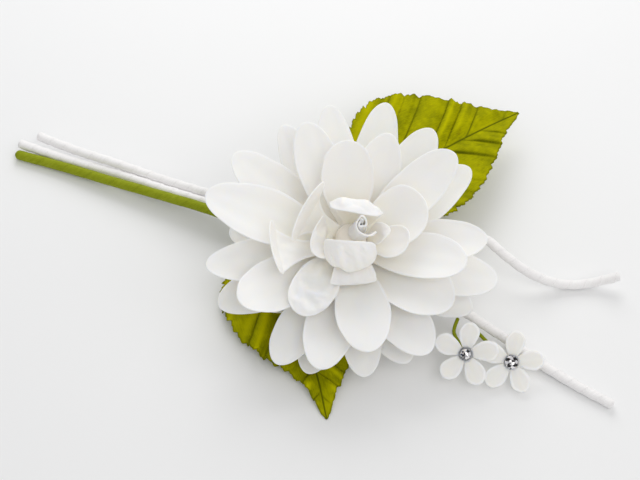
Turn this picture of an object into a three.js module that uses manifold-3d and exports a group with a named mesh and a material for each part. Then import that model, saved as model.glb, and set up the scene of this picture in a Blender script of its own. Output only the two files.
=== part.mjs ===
// A handmade flower spray that lies on a table: one white foam peony on paper-wrapped wires, two moulded
// fabric leaves behind it, and two small foam blossoms with a crystal in the middle of each.
// Millimetres, +Z up. +X runs from the cut stem ends to the free wire ends, and +Y away from the viewer.
// The spray is laid out from the peony's foot and then shifted, so that its origin is the middle of its
// box on the table.

import * as THREE from "three";
import { mergeVertices } from "three/addons/utils/BufferGeometryUtils.js";
import Module from "manifold-3d";

const wasm = await Module();
wasm.setup();

// Driving dimensions
const FOAM = 1.0; // thickness of the petal foam
const GLUE_GAP = 0.35; // glue line between two pieces
const FOOT_HEIGHT = 11; // the peony's foot above the table
const FACE_TILT = 15; // degrees that the peony's face leans from straight up towards the viewer
const CORE_RADIUS = 4.2; // the foam core that every petal is glued round
const CORE_SHOULDER = 15; // height where the core starts to close
const CORE_TOP = 17.5;
const LEVEL_STEP = 1.2; // rise from one petal's foot to the next one up the core
const DISC_RADIUS = 8; // felt disc that closes the peony's back
const DISC_THICKNESS = 1.5;
const HEART_TURNS = 1.5; // the rolled petal in the middle of the bud
const HEART_FOAM = 0.55;
const HEART_HEIGHT = 7;
const STEM_DIAMETER = 3.0; // tape-wrapped green stem
const WIRE_DIAMETER = 2.7; // paper-wrapped white wires
const TWIG_DIAMETER = 1.3; // thin green stems of the small blossoms
const TAPE_LENGTH = 7; // the tape that binds the stem and the wires
const TAPE_WALL = 0.5;
const LEAF_THICKNESS = 0.5;
const TOOTH_DEPTH = 0.07; // depth of the leaf's teeth, as a share of its half width
const BLOSSOM_REACH = 9.3; // middle of a small blossom to the tip of a lobe
const BLOSSOM_LOBE_WIDTH = 5.8;
const BLOSSOM_FOAM = 0.8;
const BLOSSOM_TILT = 35; // degrees that a small blossom faces from straight up towards the viewer

// Fineness of the surfaces
const PETAL_ROWS = 8;
const PETAL_COLUMNS = 4;
const LEAF_ROWS = 24;
const LEAF_HALF_COLUMNS = 2;
const BAR_SIDES = 8;

const FINISHES = {
  foam: { color: 0xf6f4ef, roughness: 0.7, metalness: 0 },
  core: { color: 0xefeade, roughness: 0.85, metalness: 0 },
  felt: { color: 0xf0efe9, roughness: 0.95, metalness: 0 },
  leaf: { color: 0x93a800, roughness: 0.7, metalness: 0 },
  tape: { color: 0x83991a, roughness: 0.8, metalness: 0 },
  paper: { color: 0xf1f0ec, roughness: 0.8, metalness: 0 },
  crystal: { color: 0xd9d9de, roughness: 0.05, metalness: 0 },
};

const radians = THREE.MathUtils.degToRad;
const { clamp, smoothstep } = THREE.MathUtils;

function piece(name, geometry, finish) {
  const material = new THREE.MeshStandardMaterial({ name: finish, ...FINISHES[finish] });
  const mesh = new THREE.Mesh(geometry, material);
  mesh.name = name;
  return mesh;
}

// A closed shell of even thickness round a grid of points. Rows run along the piece and columns across.
function shell(grid, thickness) {
  const lastRow = grid.length - 1;
  const lastColumn = grid[0].length - 1;
  const near = (i, j) => grid[clamp(i, 0, lastRow)][clamp(j, 0, lastColumn)];
  const skin = (side) =>
    grid.flatMap((row, i) =>
      row.map((point, j) => {
        const along = near(i + 1, j).clone().sub(near(i - 1, j));
        const across = near(i, j + 1).clone().sub(near(i, j - 1));
        return point.clone().addScaledVector(along.cross(across).normalize(), side * thickness);
      }),
    );
  const points = [...skin(0.5), ...skin(-0.5)];
  const under = points.length / 2;
  const at = (i, j) => i * (lastColumn + 1) + j;
  const faces = [];
  for (let i = 0; i < lastRow; i++) {
    for (let j = 0; j < lastColumn; j++) {
      const [a, b, c, d] = [at(i, j), at(i + 1, j), at(i + 1, j + 1), at(i, j + 1)];
      faces.push(a, b, c, a, c, d);
      faces.push(under + a, under + c, under + b, under + a, under + d, under + c);
    }
  }
  const rim = [];
  for (let i = 0; i < lastRow; i++) rim.push(at(i, 0));
  for (let j = 0; j < lastColumn; j++) rim.push(at(lastRow, j));
  for (let i = lastRow; i > 0; i--) rim.push(at(i, lastColumn));
  for (let j = lastColumn; j > 0; j--) rim.push(at(0, j));
  rim.forEach((a, k) => {
    const b = rim[(k + 1) % rim.length];
    faces.push(under + a, under + b, b, under + a, b, a);
  });
  const geometry = new THREE.BufferGeometry().setFromPoints(points);
  geometry.setIndex(faces);
  return geometry;
}

// A closed solid of revolution about Z. The outline runs from the axis at the bottom to it at the top.
function turned(outline, sides) {
  const profile = outline.map(([radius, z]) => new THREE.Vector2(radius, z));
  return new THREE.LatheGeometry(profile, sides).rotateX(Math.PI / 2);
}

// A smooth line through the given places.
function route(places) {
  return new THREE.CatmullRomCurve3(places.map((place) => new THREE.Vector3(...place)), false, "centripetal");
}

// A round bar along a smooth line through the given places.
function bar(places, diameter, steps) {
  const section = new THREE.Shape();
  for (let k = 0; k < BAR_SIDES; k++) {
    const angle = (2 * Math.PI * k) / BAR_SIDES;
    const corner = [(diameter / 2) * Math.cos(angle), (diameter / 2) * Math.sin(angle)];
    if (k === 0) section.moveTo(...corner);
    else section.lineTo(...corner);
  }
  section.closePath();
  return new THREE.ExtrudeGeometry(section, { steps, extrudePath: route(places), bevelEnabled: false });
}

// Share of a petal's full width at t along it: a narrow foot, the widest place at belly, a round tip.
function petalWidth(t, { foot, belly, blunt }) {
  if (t < belly) return foot + (1 - foot) * Math.sin((Math.PI / 2) * (t / belly)) ** 1.3;
  return Math.sqrt(1 - 0.97 * ((t - belly) / (1 - belly)) ** blunt);
}

// One foam petal that grows along +X from the peony's axis, as a closed shell.
// level: its place up the core. rise: slope at the foot, in degrees. curl: change of slope over the
// whole petal. bend: change of slope between bendFrom and bendTo along it. cup: curvature across, in
// 1/mm. sway: degrees that its line turns sideways by the tip. start: the foot's distance from the axis.
function petalShell({
  level,
  length,
  width,
  rise,
  curl = 0,
  bend = 0,
  bendFrom = 0.55,
  bendTo = 1,
  cup = 0.05,
  sway = 0,
  foot = 0.21,
  belly = 0.62,
  blunt = 2.2,
  start = CORE_RADIUS + GLUE_GAP,
  rows = PETAL_ROWS,
  thickness = FOAM,
}) {
  const grid = [];
  const clear = (thickness / 2) * Math.sin(radians(rise));
  const spine = new THREE.Vector3(start + clear, 0, level * LEVEL_STEP + FOAM / 2);
  let before = 0;
  for (let i = 0; i <= rows; i++) {
    const t = Math.sin((Math.PI / 2) * (i / rows));
    const middle = (t + before) / 2;
    const slope = radians(rise + curl * middle + bend * smoothstep(middle, bendFrom, bendTo));
    const heading = radians(sway * middle);
    const outward = new THREE.Vector3(Math.cos(heading), Math.sin(heading), 0);
    const along = outward.multiplyScalar(Math.cos(slope)).setZ(Math.sin(slope));
    spine.addScaledVector(along, (t - before) * length);
    before = t;
    const across = new THREE.Vector3(-Math.sin(heading), Math.cos(heading), 0);
    const inward = along.clone().cross(across);
    const half = (width / 2) * petalWidth(t, { foot, belly, blunt });
    const row = [];
    for (let j = 0; j <= PETAL_COLUMNS; j++) {
      const aside = half * ((2 * j) / PETAL_COLUMNS - 1);
      const point = spine.clone().addScaledVector(across, Math.sin(cup * aside) / cup);
      row.push(point.addScaledVector(inward, (1 - Math.cos(cup * aside)) / cup));
    }
    grid.push(row);
  }
  return shell(grid, thickness);
}

// The peony's petals, from the lowest round up to the bud. turn: degrees round the axis from +X.
const PETALS = {
  skirt_petal: [
    { turn: 34, level: 0.9, length: 37, width: 13, rise: 9, curl: 6 },
    { turn: 76, level: 0, length: 41, width: 13, rise: 8, curl: 6, blunt: 1.9 },
    { turn: 118, level: 0.9, length: 37, width: 12, rise: 10, curl: 6 },
    { turn: 168, level: 0, length: 30, width: 12, rise: 3, curl: 4 },
    { turn: 213, level: 0.9, length: 25, width: 12, rise: 2, curl: 4 },
    { turn: 252, level: 0, length: 32.5, width: 12, rise: 5, curl: 2 },
    { turn: 296, level: 0.8, length: 31, width: 13, rise: 3, curl: 3 },
    { turn: 333, level: 0, length: 33, width: 13, rise: 5, curl: 3 },
  ],
  outer_petal: [
    { turn: 55, level: 2.9, length: 37, width: 13, rise: 12, curl: 6 },
    { turn: 98, level: 2, length: 38, width: 12, rise: 12, curl: 6 },
    { turn: 141, level: 2.9, length: 38, width: 14, rise: 10, curl: 5 },
    { turn: 205, level: 2.1, length: 34.5, width: 13, rise: 4, curl: 4 },
    { turn: 239, level: 3, length: 34.5, width: 13, rise: 5, curl: 4 },
    { turn: 276, level: 2.1, length: 32.5, width: 12, rise: 6, curl: 3 },
    { turn: 346, level: 2.9, length: 37, width: 15, rise: 4, curl: 3 },
  ],
  middle_petal: [
    { turn: 0, level: 4.9, length: 35, width: 13.5, rise: 12, curl: 5 },
    { turn: 70, level: 4, length: 30, width: 13, rise: 20, curl: 8 },
    { turn: 112, level: 4.9, length: 33, width: 13, rise: 20, curl: 6 },
    { turn: 189, level: 4, length: 36, width: 13, rise: 8, curl: 4 },
    { turn: 257, level: 4.9, length: 33, width: 15, rise: 8, curl: 4 },
    { turn: 303, level: 4, length: 33, width: 15, rise: 7, curl: 4 },
  ],
  upper_petal: [
    { turn: 38, level: 6.9, length: 34, width: 14, rise: 18, curl: 6 },
    { turn: 93, level: 6.15, length: 26, width: 15, rise: 30, curl: 12 },
    { turn: 164, level: 6.9, length: 38, width: 16, rise: 14, curl: 6 },
    { turn: 212, level: 6, length: 32, width: 16, rise: 10.6, curl: 8 },
    { turn: 278.5, level: 7, length: 28.5, width: 15, rise: 11.2, curl: 4 },
    { turn: 325, level: 5.8, length: 29.2, width: 17, rise: 12.4, curl: 4 },
  ],
  inner_petal: [
    { turn: 345, level: 8, length: 29, width: 14, rise: 14, curl: 10, cup: 0.06 },
    { turn: 22, level: 8.9, length: 19.6, width: 17.2, rise: 19, curl: 16, foot: 0.42, belly: 0.55,
      blunt: 2.1, cup: 0.06, sway: 6 },
    { turn: 152, level: 9.98, length: 16.6, width: 19, rise: 20, bend: 62, bendFrom: 0.5, bendTo: 0.6,
      foot: 0.3, belly: 0.82, blunt: 3.4 },
    { turn: 191, level: 9.04, length: 22.4, width: 15.4, rise: 13, bend: 62, bendFrom: 0.68, bendTo: 0.76,
      foot: 0.3, belly: 0.86, blunt: 3 },
    { turn: 227, level: 7.82, length: 21.3, width: 13.4, rise: 11.5, curl: 12, bend: -25, cup: 0.06,
      sway: 32 },
    { turn: 352, level: 10.5, length: 14.1, width: 10, rise: 9, curl: 52, foot: 0.34, blunt: 2.6, cup: 0.1 },
  ],
  bud_petal: [
    { turn: 274, level: 10.6, length: 8.2, width: 11.8, rise: 6.6, bend: -18, foot: 0.5, belly: 0.85,
      blunt: 4, cup: 0.03 },
    { turn: 268, level: 11.65, length: 17, width: 15.7, rise: 0, curl: 40, bend: 95, bendFrom: 0.12,
      bendTo: 0.52, belly: 0.72, blunt: 4.2, cup: 0.11 },
    { turn: 192, level: 10.9, length: 10.2, width: 11.6, rise: 46, curl: 18, belly: 0.66, blunt: 2.6,
      cup: 0.03, sway: -34 },
    { turn: 77, level: 10.6, length: 16, width: 15.4, rise: 55, curl: 20, bend: 85, bendFrom: 0.45,
      bendTo: 0.8, belly: 0.66, blunt: 3.2, cup: 0.08 },
    { turn: 5, level: 11.5, length: 8.2, width: 6.4, rise: 40, curl: 30, bend: -50, belly: 0.5, blunt: 1.5,
      cup: 0.1 },
  ],
};

// The foam column that holds the petals, with a rounded shoulder inside the bud.
function core() {
  const foot = -GLUE_GAP / 2;
  const outline = [
    [0, foot],
    [CORE_RADIUS, foot],
    [CORE_RADIUS, CORE_SHOULDER],
    [CORE_RADIUS - 0.4, CORE_TOP - 0.9],
    [CORE_RADIUS - 1.1, CORE_TOP],
    [0, CORE_TOP],
  ];
  return piece("flower_core", turned(outline, 20), "core");
}

function backDisc() {
  const top = -2 * GLUE_GAP;
  const bottom = top - DISC_THICKNESS;
  const outline = [[0, bottom], [DISC_RADIUS, bottom], [DISC_RADIUS, top], [0, top]];
  return piece("back_disc", turned(outline, 24), "felt");
}

// The bud's heart is a small petal rolled up round itself. It stands on the core, right of its middle.
function budHeart() {
  const [middleX, middleY, inner, outer, firstAngle] = [1.9, 1.1, 0.8, 2.8, 2.6];
  const [rows, columns] = [3, 14];
  const grid = [];
  for (let i = 0; i <= rows; i++) {
    const up = i / rows;
    const row = [];
    for (let j = 0; j <= columns; j++) {
      const share = j / columns;
      const angle = firstAngle + 2 * Math.PI * HEART_TURNS * share;
      const radius = (inner + (outer - inner) * share) * (0.85 + 0.2 * up);
      const height = up * HEART_HEIGHT * (1 - 0.25 * (1 - share) ** 2);
      const [x, y] = [middleX + radius * Math.cos(angle), middleY + radius * Math.sin(angle)];
      row.push(new THREE.Vector3(x, y, CORE_TOP + GLUE_GAP + height));
    }
    grid.push(row);
  }
  return piece("bud_heart", shell(grid, HEART_FOAM), "foam");
}

function peony() {
  const group = new THREE.Group();
  group.add(core(), backDisc(), budHeart());
  for (const [round, rows] of Object.entries(PETALS)) {
    rows.forEach((row, k) => {
      const petal = piece(`${round}_${k + 1}`, petalShell(row), "foam");
      petal.rotation.z = radians(row.turn);
      group.add(petal);
    });
  }
  group.position.z = FOOT_HEIGHT;
  group.rotation.x = radians(FACE_TILT);
  return group;
}

// The stem and the wires run side by side through a tape binding under the peony's back.
const BUNDLE_MIDDLE = new THREE.Vector3(-9.5, 7.9, 6.3);
const BUNDLE_ALONG = new THREE.Vector3(1, -0.46, 0).normalize();
const BUNDLE_ASIDE = new THREE.Vector3(0.46, 1, 0).normalize();
const UP = new THREE.Vector3(0, 0, 1);
const IN_BUNDLE = { green: [-1.6, -0.9], front: [1.6, -0.9], back: [0.05, 1.85] };

// The two places where a bar enters and leaves the binding.
function throughBundle([aside, up]) {
  return [-0.65, 0.65].map((share) => {
    const place = BUNDLE_MIDDLE.clone().addScaledVector(BUNDLE_ALONG, share * TAPE_LENGTH);
    return place.addScaledVector(BUNDLE_ASIDE, aside).addScaledVector(UP, up).toArray();
  });
}

// The green stem lies along the table and turns up under the back disc.
const STEM_PLACES = [
  [-99.8, 44, 1.5], [-85, 38.6, 2.2], [-70.5, 32.6, 3.3], [-55, 26.2, 4.7], [-41, 20.4, 5.8],
  [-24, 12.7, 5.8], ...throughBundle(IN_BUNDLE.green), [-3.4, 3.1, 5.3], [-1.5, 1.5, 6.1], [-0.9, 0.9, 7.9],
];

// The two white wires run right through under the peony. They start beside the green stem's cut end and
// come out on the other side as two free ends.
const BACK_WIRE_PLACES = [
  [-93.4, 49.3, 3.6], [-82, 43.9, 3.7], [-69, 38.5, 4], [-55, 32.7, 3.8], [-41.4, 26.7, 5.1],
  [-33.5, 22.9, 6.6], [-26, 18.2, 8],
  ...throughBundle(IN_BUNDLE.back), [4, 4.6, 8.1], [16, 4.6, 9.6], [28, 5.3, 12.2], [38.5, 4.8, 12.2],
  [42.2, 2.4, 10.4], [46.5, 0, 7.9], [50.8, -1.8, 5.6], [56.7, -2.9, 3], [62.5, -3.1, 1.6], [68.2, -2.7, 1.9],
  [72.3, -2.4, 3.1], [76.3, -2.2, 4.8],
];
const FRONT_WIRE_PLACES = [
  [-99, 47.2, 2.6], [-84, 41.3, 2.3], [-69, 35.9, 2.5], [-55, 29.3, 3.9], [-41, 23.5, 4.6], [-26, 17, 5.2],
  ...throughBundle(IN_BUNDLE.front), [2, 4.4, 4.7], [8, 0.8, 5.1], [14, -3, 5.8], [28, -11.8, 5.5],
  [36, -17.1, 4], [44.6, -23.1, 2.7], [53.2, -30, 1.8], [62.3, -36.4, 1.45], [70.8, -41.8, 1.36],
];

// The tape binding: a band with one rounded corner round each of the three bars.
function bindingTape() {
  const corners = [IN_BUNDLE.green, IN_BUNDLE.front, IN_BUNDLE.back];
  const outline = (reach, target) => {
    corners.forEach(([x, y], k) => {
      const [lastX, lastY] = corners[(k + 2) % 3];
      const [nextX, nextY] = corners[(k + 1) % 3];
      const from = Math.atan2(y - lastY, x - lastX) - Math.PI / 2;
      const to = Math.atan2(nextY - y, nextX - x) - Math.PI / 2;
      target.absarc(x, y, reach, from, to, false);
    });
    target.closePath();
    return target;
  };
  const inside = STEM_DIAMETER / 2 + GLUE_GAP;
  const band = outline(inside + TAPE_WALL, new THREE.Shape());
  band.holes.push(outline(inside, new THREE.Path()));
  const settings = { depth: TAPE_LENGTH, bevelEnabled: false, curveSegments: 6 };
  const geometry = new THREE.ExtrudeGeometry(band, settings).translate(0, 0, -TAPE_LENGTH / 2);
  const tape = piece("binding_tape", geometry, "tape");
  tape.quaternion.setFromRotationMatrix(new THREE.Matrix4().makeBasis(BUNDLE_ASIDE, UP, BUNDLE_ALONG));
  tape.position.copy(BUNDLE_MIDDLE);
  return tape;
}

function stems() {
  return [
    piece("green_stem", bar(STEM_PLACES, STEM_DIAMETER, 34), "tape"),
    piece("white_wire_back", bar(BACK_WIRE_PLACES, WIRE_DIAMETER, 54), "paper"),
    piece("white_wire_front", bar(FRONT_WIRE_PLACES, WIRE_DIAMETER, 46), "paper"),
    bindingTape(),
  ];
}

// A moulded leaf with a toothed edge along a spine. stalk: share of the spine that is bare stalk. left
// and right: width of each half. fold: slope of each half up from the spine, in degrees. roll: lean of
// the whole blade, positive with its left side up. taper: how hollow the edges run towards the point.
function leafBlade({ places, stalk, left, right, fold, roll, taper }) {
  const widest = 0.4;
  const spine = route(places);
  const grid = [];
  for (let i = 0; i <= LEAF_ROWS; i++) {
    const t = i / LEAF_ROWS;
    const along = spine.getTangentAt(t);
    const aside = new THREE.Vector3(-along.y, along.x, 0).normalize();
    const onBlade = Math.max((t - stalk) / (1 - stalk), 0);
    const swelling = Math.sin((Math.PI / 2) * Math.min(onBlade / widest, 1)) ** 0.8;
    const closing = Math.cos((Math.PI / 2) * Math.max((onBlade - widest) / (1 - widest), 0)) ** taper;
    const tooth = i % 2 === 0 ? 1 : 1 - TOOTH_DEPTH;
    const fullness = tooth * (0.05 + 0.95 * swelling * closing);
    const row = [];
    for (let j = -LEAF_HALF_COLUMNS; j <= LEAF_HALF_COLUMNS; j++) {
      const side = Math.sign(j);
      const reach = (fullness * (side < 0 ? right : left) * Math.abs(j)) / LEAF_HALF_COLUMNS;
      const slope = radians(fold + roll * side);
      const point = spine.getPointAt(t).addScaledVector(aside, side * reach * Math.cos(slope));
      row.push(point.addScaledVector(UP, reach * Math.sin(slope)));
    }
    grid.push(row);
  }
  return shell(grid, LEAF_THICKNESS);
}

function leaves() {
  const back = leafBlade({
    places: [
      [-10.2, 12.2, 8.6], [-4.7, 17, 8.2], [3.7, 23.1, 8.4], [12, 28, 9.6], [27, 37.2, 11.6],
      [40, 45.6, 11.4], [51.1, 53.3, 9.5],
    ],
    stalk: 0.16,
    left: 25.5,
    right: 20.4,
    fold: 3,
    roll: 2,
    taper: 1.5,
  });
  const front = leafBlade({
    places: [
      [-23.4, 12.4, 3.7], [-23.2, 8.5, 2.6], [-22.3, 2, 2], [-18.2, -12, 1.7], [-10, -30, 1.2],
      [-6.6, -45.5, 0.3],
    ],
    stalk: 0.03,
    left: 21,
    right: 18.5,
    fold: 1,
    roll: 0,
    taper: 1.5,
  });
  return [piece("leaf_back", back, "leaf"), piece("leaf_front", front, "leaf")];
}

// A geometry's triangles as a solid that can be joined to others.
function solid(geometry) {
  const bare = geometry.clone();
  bare.deleteAttribute("normal");
  bare.deleteAttribute("uv");
  const merged = mergeVertices(bare, 1e-4);
  const mesh = new wasm.Mesh({
    numProp: 3,
    vertProperties: new Float32Array(merged.attributes.position.array),
    triVerts: new Uint32Array(merged.index.array),
  });
  return new wasm.Manifold(mesh);
}

function geometryOf(joined) {
  const { vertProperties, triVerts } = joined.getMesh();
  const geometry = new THREE.BufferGeometry();
  geometry.setAttribute("position", new THREE.BufferAttribute(new Float32Array(vertProperties), 3));
  geometry.setIndex(new THREE.BufferAttribute(new Uint32Array(triVerts), 1));
  return geometry;
}

// A small blossom, cut in one piece from foam: five lobes joined in the middle.
function blossomFoam() {
  const [lobes, hubRadius, lobeStart] = [5, 1.9, 0.8];
  const half = BLOSSOM_FOAM / 2;
  let joined = solid(turned([[0, -half], [hubRadius, -half], [hubRadius, half], [0, half]], 20));
  const lobe = petalShell({
    level: -FOAM / 2 / LEVEL_STEP,
    start: lobeStart,
    length: BLOSSOM_REACH - lobeStart,
    width: BLOSSOM_LOBE_WIDTH,
    rise: 0,
    curl: 14,
    cup: 0.06,
    foot: 0.22,
    belly: 0.66,
    rows: 6,
    thickness: BLOSSOM_FOAM - 0.06,
  });
  for (let k = 0; k < lobes; k++) {
    joined = joined.add(solid(lobe.clone().rotateZ((2 * Math.PI * k) / lobes)));
  }
  return geometryOf(joined);
}

// A flat-backed crystal: a low cone with a flat top, glued on the middle of a blossom.
function crystal(radius) {
  const foot = BLOSSOM_FOAM / 2 + GLUE_GAP;
  const girdle = foot + 0.35;
  const table = foot + 1.1;
  return turned([[0, foot], [radius, foot], [radius, girdle], [radius * 0.55, table], [0, table]], 8);
}

// spin: degrees that the lobes turn about the blossom's middle. lean: degrees that its right side rises.
function blossom(side, { place, spin, lean, stone }) {
  const flower = new THREE.Group();
  flower.add(piece(`blossom_${side}`, blossomFoam(), "foam"));
  flower.add(piece(`crystal_${side}`, crystal(stone), "crystal"));
  flower.rotation.set(0, radians(-lean), radians(spin), "XYZ");
  const facing = new THREE.Group();
  facing.add(flower);
  facing.position.set(...place);
  facing.rotation.x = radians(BLOSSOM_TILT);
  return facing;
}

const LEFT_TWIG_PLACES = [
  [31.1, -28.8, 6.5], [31, -27.3, 4.5], [30.4, -24.3, 3.3], [28.7, -19.8, 3.1], [30, -15.4, 3.5],
];
const RIGHT_TWIG_PLACES = [
  [43.6, -30.2, 4.6], [43.2, -28.9, 3.1], [41.2, -26, 2.2], [37.4, -22.1, 2.4], [34.3, -18.5, 3.1],
];

function blossoms() {
  return [
    blossom("left", { place: [31.1, -29.4, 7.4], spin: 7, lean: 5, stone: 1.4 }),
    blossom("right", { place: [43.6, -30.7, 5.3], spin: 7, lean: 3, stone: 1.8 }),
    piece("blossom_twig_left", bar(LEFT_TWIG_PLACES, TWIG_DIAMETER, 12), "tape"),
    piece("blossom_twig_right", bar(RIGHT_TWIG_PLACES, TWIG_DIAMETER, 12), "tape"),
  ];
}

const spray = new THREE.Group();
spray.add(peony(), ...stems(), ...leaves(), ...blossoms());
spray.updateMatrixWorld(true);
const box = new THREE.Box3().setFromObject(spray, true);
const middle = box.getCenter(new THREE.Vector3());
spray.position.set(-middle.x, -middle.y, -box.min.z);

const group = new THREE.Group();
group.add(spray);
export default group;
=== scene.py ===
"""The looks of a handmade spray that lies on a table: a white foam peony on wires, two moulded fabric leaves
and two small foam blossoms, each with a crystal.

Lengths are in millimetres in the spray's own layout, which starts at the peony's foot, until a mesh is made.
"""

import logging
import math
import random
from collections.abc import Iterable, Mapping, Sequence
from dataclasses import dataclass, replace
from enum import Enum

import bpy
import numpy as np
from mathutils import Matrix, Vector


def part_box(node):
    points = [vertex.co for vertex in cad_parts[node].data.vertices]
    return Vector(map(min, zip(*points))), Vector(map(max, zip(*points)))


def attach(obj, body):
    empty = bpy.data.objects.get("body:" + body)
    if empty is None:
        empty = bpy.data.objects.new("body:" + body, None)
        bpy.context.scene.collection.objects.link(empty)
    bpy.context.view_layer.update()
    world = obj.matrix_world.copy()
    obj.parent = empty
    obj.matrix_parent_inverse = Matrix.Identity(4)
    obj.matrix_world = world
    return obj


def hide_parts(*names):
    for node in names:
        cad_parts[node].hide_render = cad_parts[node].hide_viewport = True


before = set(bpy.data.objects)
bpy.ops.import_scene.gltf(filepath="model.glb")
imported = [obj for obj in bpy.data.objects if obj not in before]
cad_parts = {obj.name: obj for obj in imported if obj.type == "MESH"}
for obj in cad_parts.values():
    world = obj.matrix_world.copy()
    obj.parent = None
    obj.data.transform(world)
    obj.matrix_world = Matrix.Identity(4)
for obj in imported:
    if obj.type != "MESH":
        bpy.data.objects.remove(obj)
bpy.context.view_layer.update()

log = logging.getLogger("peony_spray")

MM = 0.001
BODY = "root"
FULL_TURN = 2 * math.pi

# Glued pieces stand this far apart.
GLUE_GAP = 0.35

# The peony's foot lies this high over the table, and its face leans this many degrees to the front.
FOOT_HEIGHT = 11.0
FACE_TILT = 15.0
CORE_RADIUS = 4.2
CORE_TOP = 17.5
DISC_THICKNESS = 1.5

# A petal at level 0 starts this high on the core, and each level lies a step higher.
FIRST_LEVEL = 0.5
LEVEL_STEP = 1.2

# The rim of cut foam stands out by this share of its thickness.
RIM_BULGE = 0.3

# The bounds of the random draw of where a wave starts.
ANY_PHASE = (0.0, 6.28)

Colour = tuple[float, float, float]
Place = tuple[float, float, float]
Faces = list[tuple[int, ...]]


class Slot(Enum):
    """The record's material slots."""

    FOAM = "foam"
    CORE = "core"
    FELT = "felt"
    LEAF = "leaf"
    TAPE = "tape"
    PAPER = "paper"
    CRYSTAL = "crystal"


class Round(Enum):
    """The rounds of petals, from the lowest up to the bud."""

    SKIRT = "skirt_petal"
    OUTER = "outer_petal"
    MIDDLE = "middle_petal"
    UPPER = "upper_petal"
    INNER = "inner_petal"
    BUD = "bud_petal"


class Flow:
    """A value on its way through a node tree, so that node maths reads as a Python expression."""

    def __init__(self, wiring: "Wiring", socket: bpy.types.NodeSocket) -> None:
        """Wraps one output socket."""
        self.wiring = wiring
        self.socket = socket

    def _maths(self, operation: str, *values: "Value") -> "Flow":
        """A Math node on the given values."""
        return self.wiring.node("ShaderNodeMath", {"operation": operation}, dict(enumerate(values)))

    def __add__(self, other: "Value") -> "Flow":
        """This value plus another."""
        return self._maths("ADD", self, other)

    def __radd__(self, other: "Value") -> "Flow":
        """Another value plus this one."""
        return self._maths("ADD", other, self)

    def __sub__(self, other: "Value") -> "Flow":
        """This value less another."""
        return self._maths("SUBTRACT", self, other)

    def __rsub__(self, other: "Value") -> "Flow":
        """Another value less this one."""
        return self._maths("SUBTRACT", other, self)

    def __mul__(self, other: "Value") -> "Flow":
        """This value times another."""
        return self._maths("MULTIPLY", self, other)

    def __rmul__(self, other: "Value") -> "Flow":
        """Another value times this one."""
        return self._maths("MULTIPLY", other, self)

    def __truediv__(self, other: "Value") -> "Flow":
        """This value over another."""
        return self._maths("DIVIDE", self, other)

    def __rtruediv__(self, other: "Value") -> "Flow":
        """Another value over this one."""
        return self._maths("DIVIDE", other, self)

    def sine(self) -> "Flow":
        """The sine of this value, in radians."""
        return self._maths("SINE", self)

    def cosine(self) -> "Flow":
        """The cosine of this value, in radians."""
        return self._maths("COSINE", self)

    def fraction(self) -> "Flow":
        """The part of this value past the whole number below it."""
        return self._maths("FRACT", self)

    def root(self) -> "Flow":
        """The square root of this value."""
        return self._maths("SQRT", self)

    def at_most(self, other: "Value") -> "Flow":
        """The smaller of this value and another."""
        return self._maths("MINIMUM", self, other)

    def at_least(self, other: "Value") -> "Flow":
        """The larger of this value and another."""
        return self._maths("MAXIMUM", self, other)

    def ramp(self, low: float, high: float) -> "Flow":
        """This value smoothly brought from 0 to 1.

        Args:
            low: the value up to which it is 0.
            high: the value from which it is 1.

        Returns:
            A number between 0 and 1.
        """
        settings = {"interpolation_type": "SMOOTHSTEP"}
        sockets = {"Value": self, "From Min": low, "From Max": high}
        return self.wiring.node("ShaderNodeMapRange", settings, sockets)


Value = Flow | float | int | bool | str | Sequence[float] | bpy.types.Material


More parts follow.
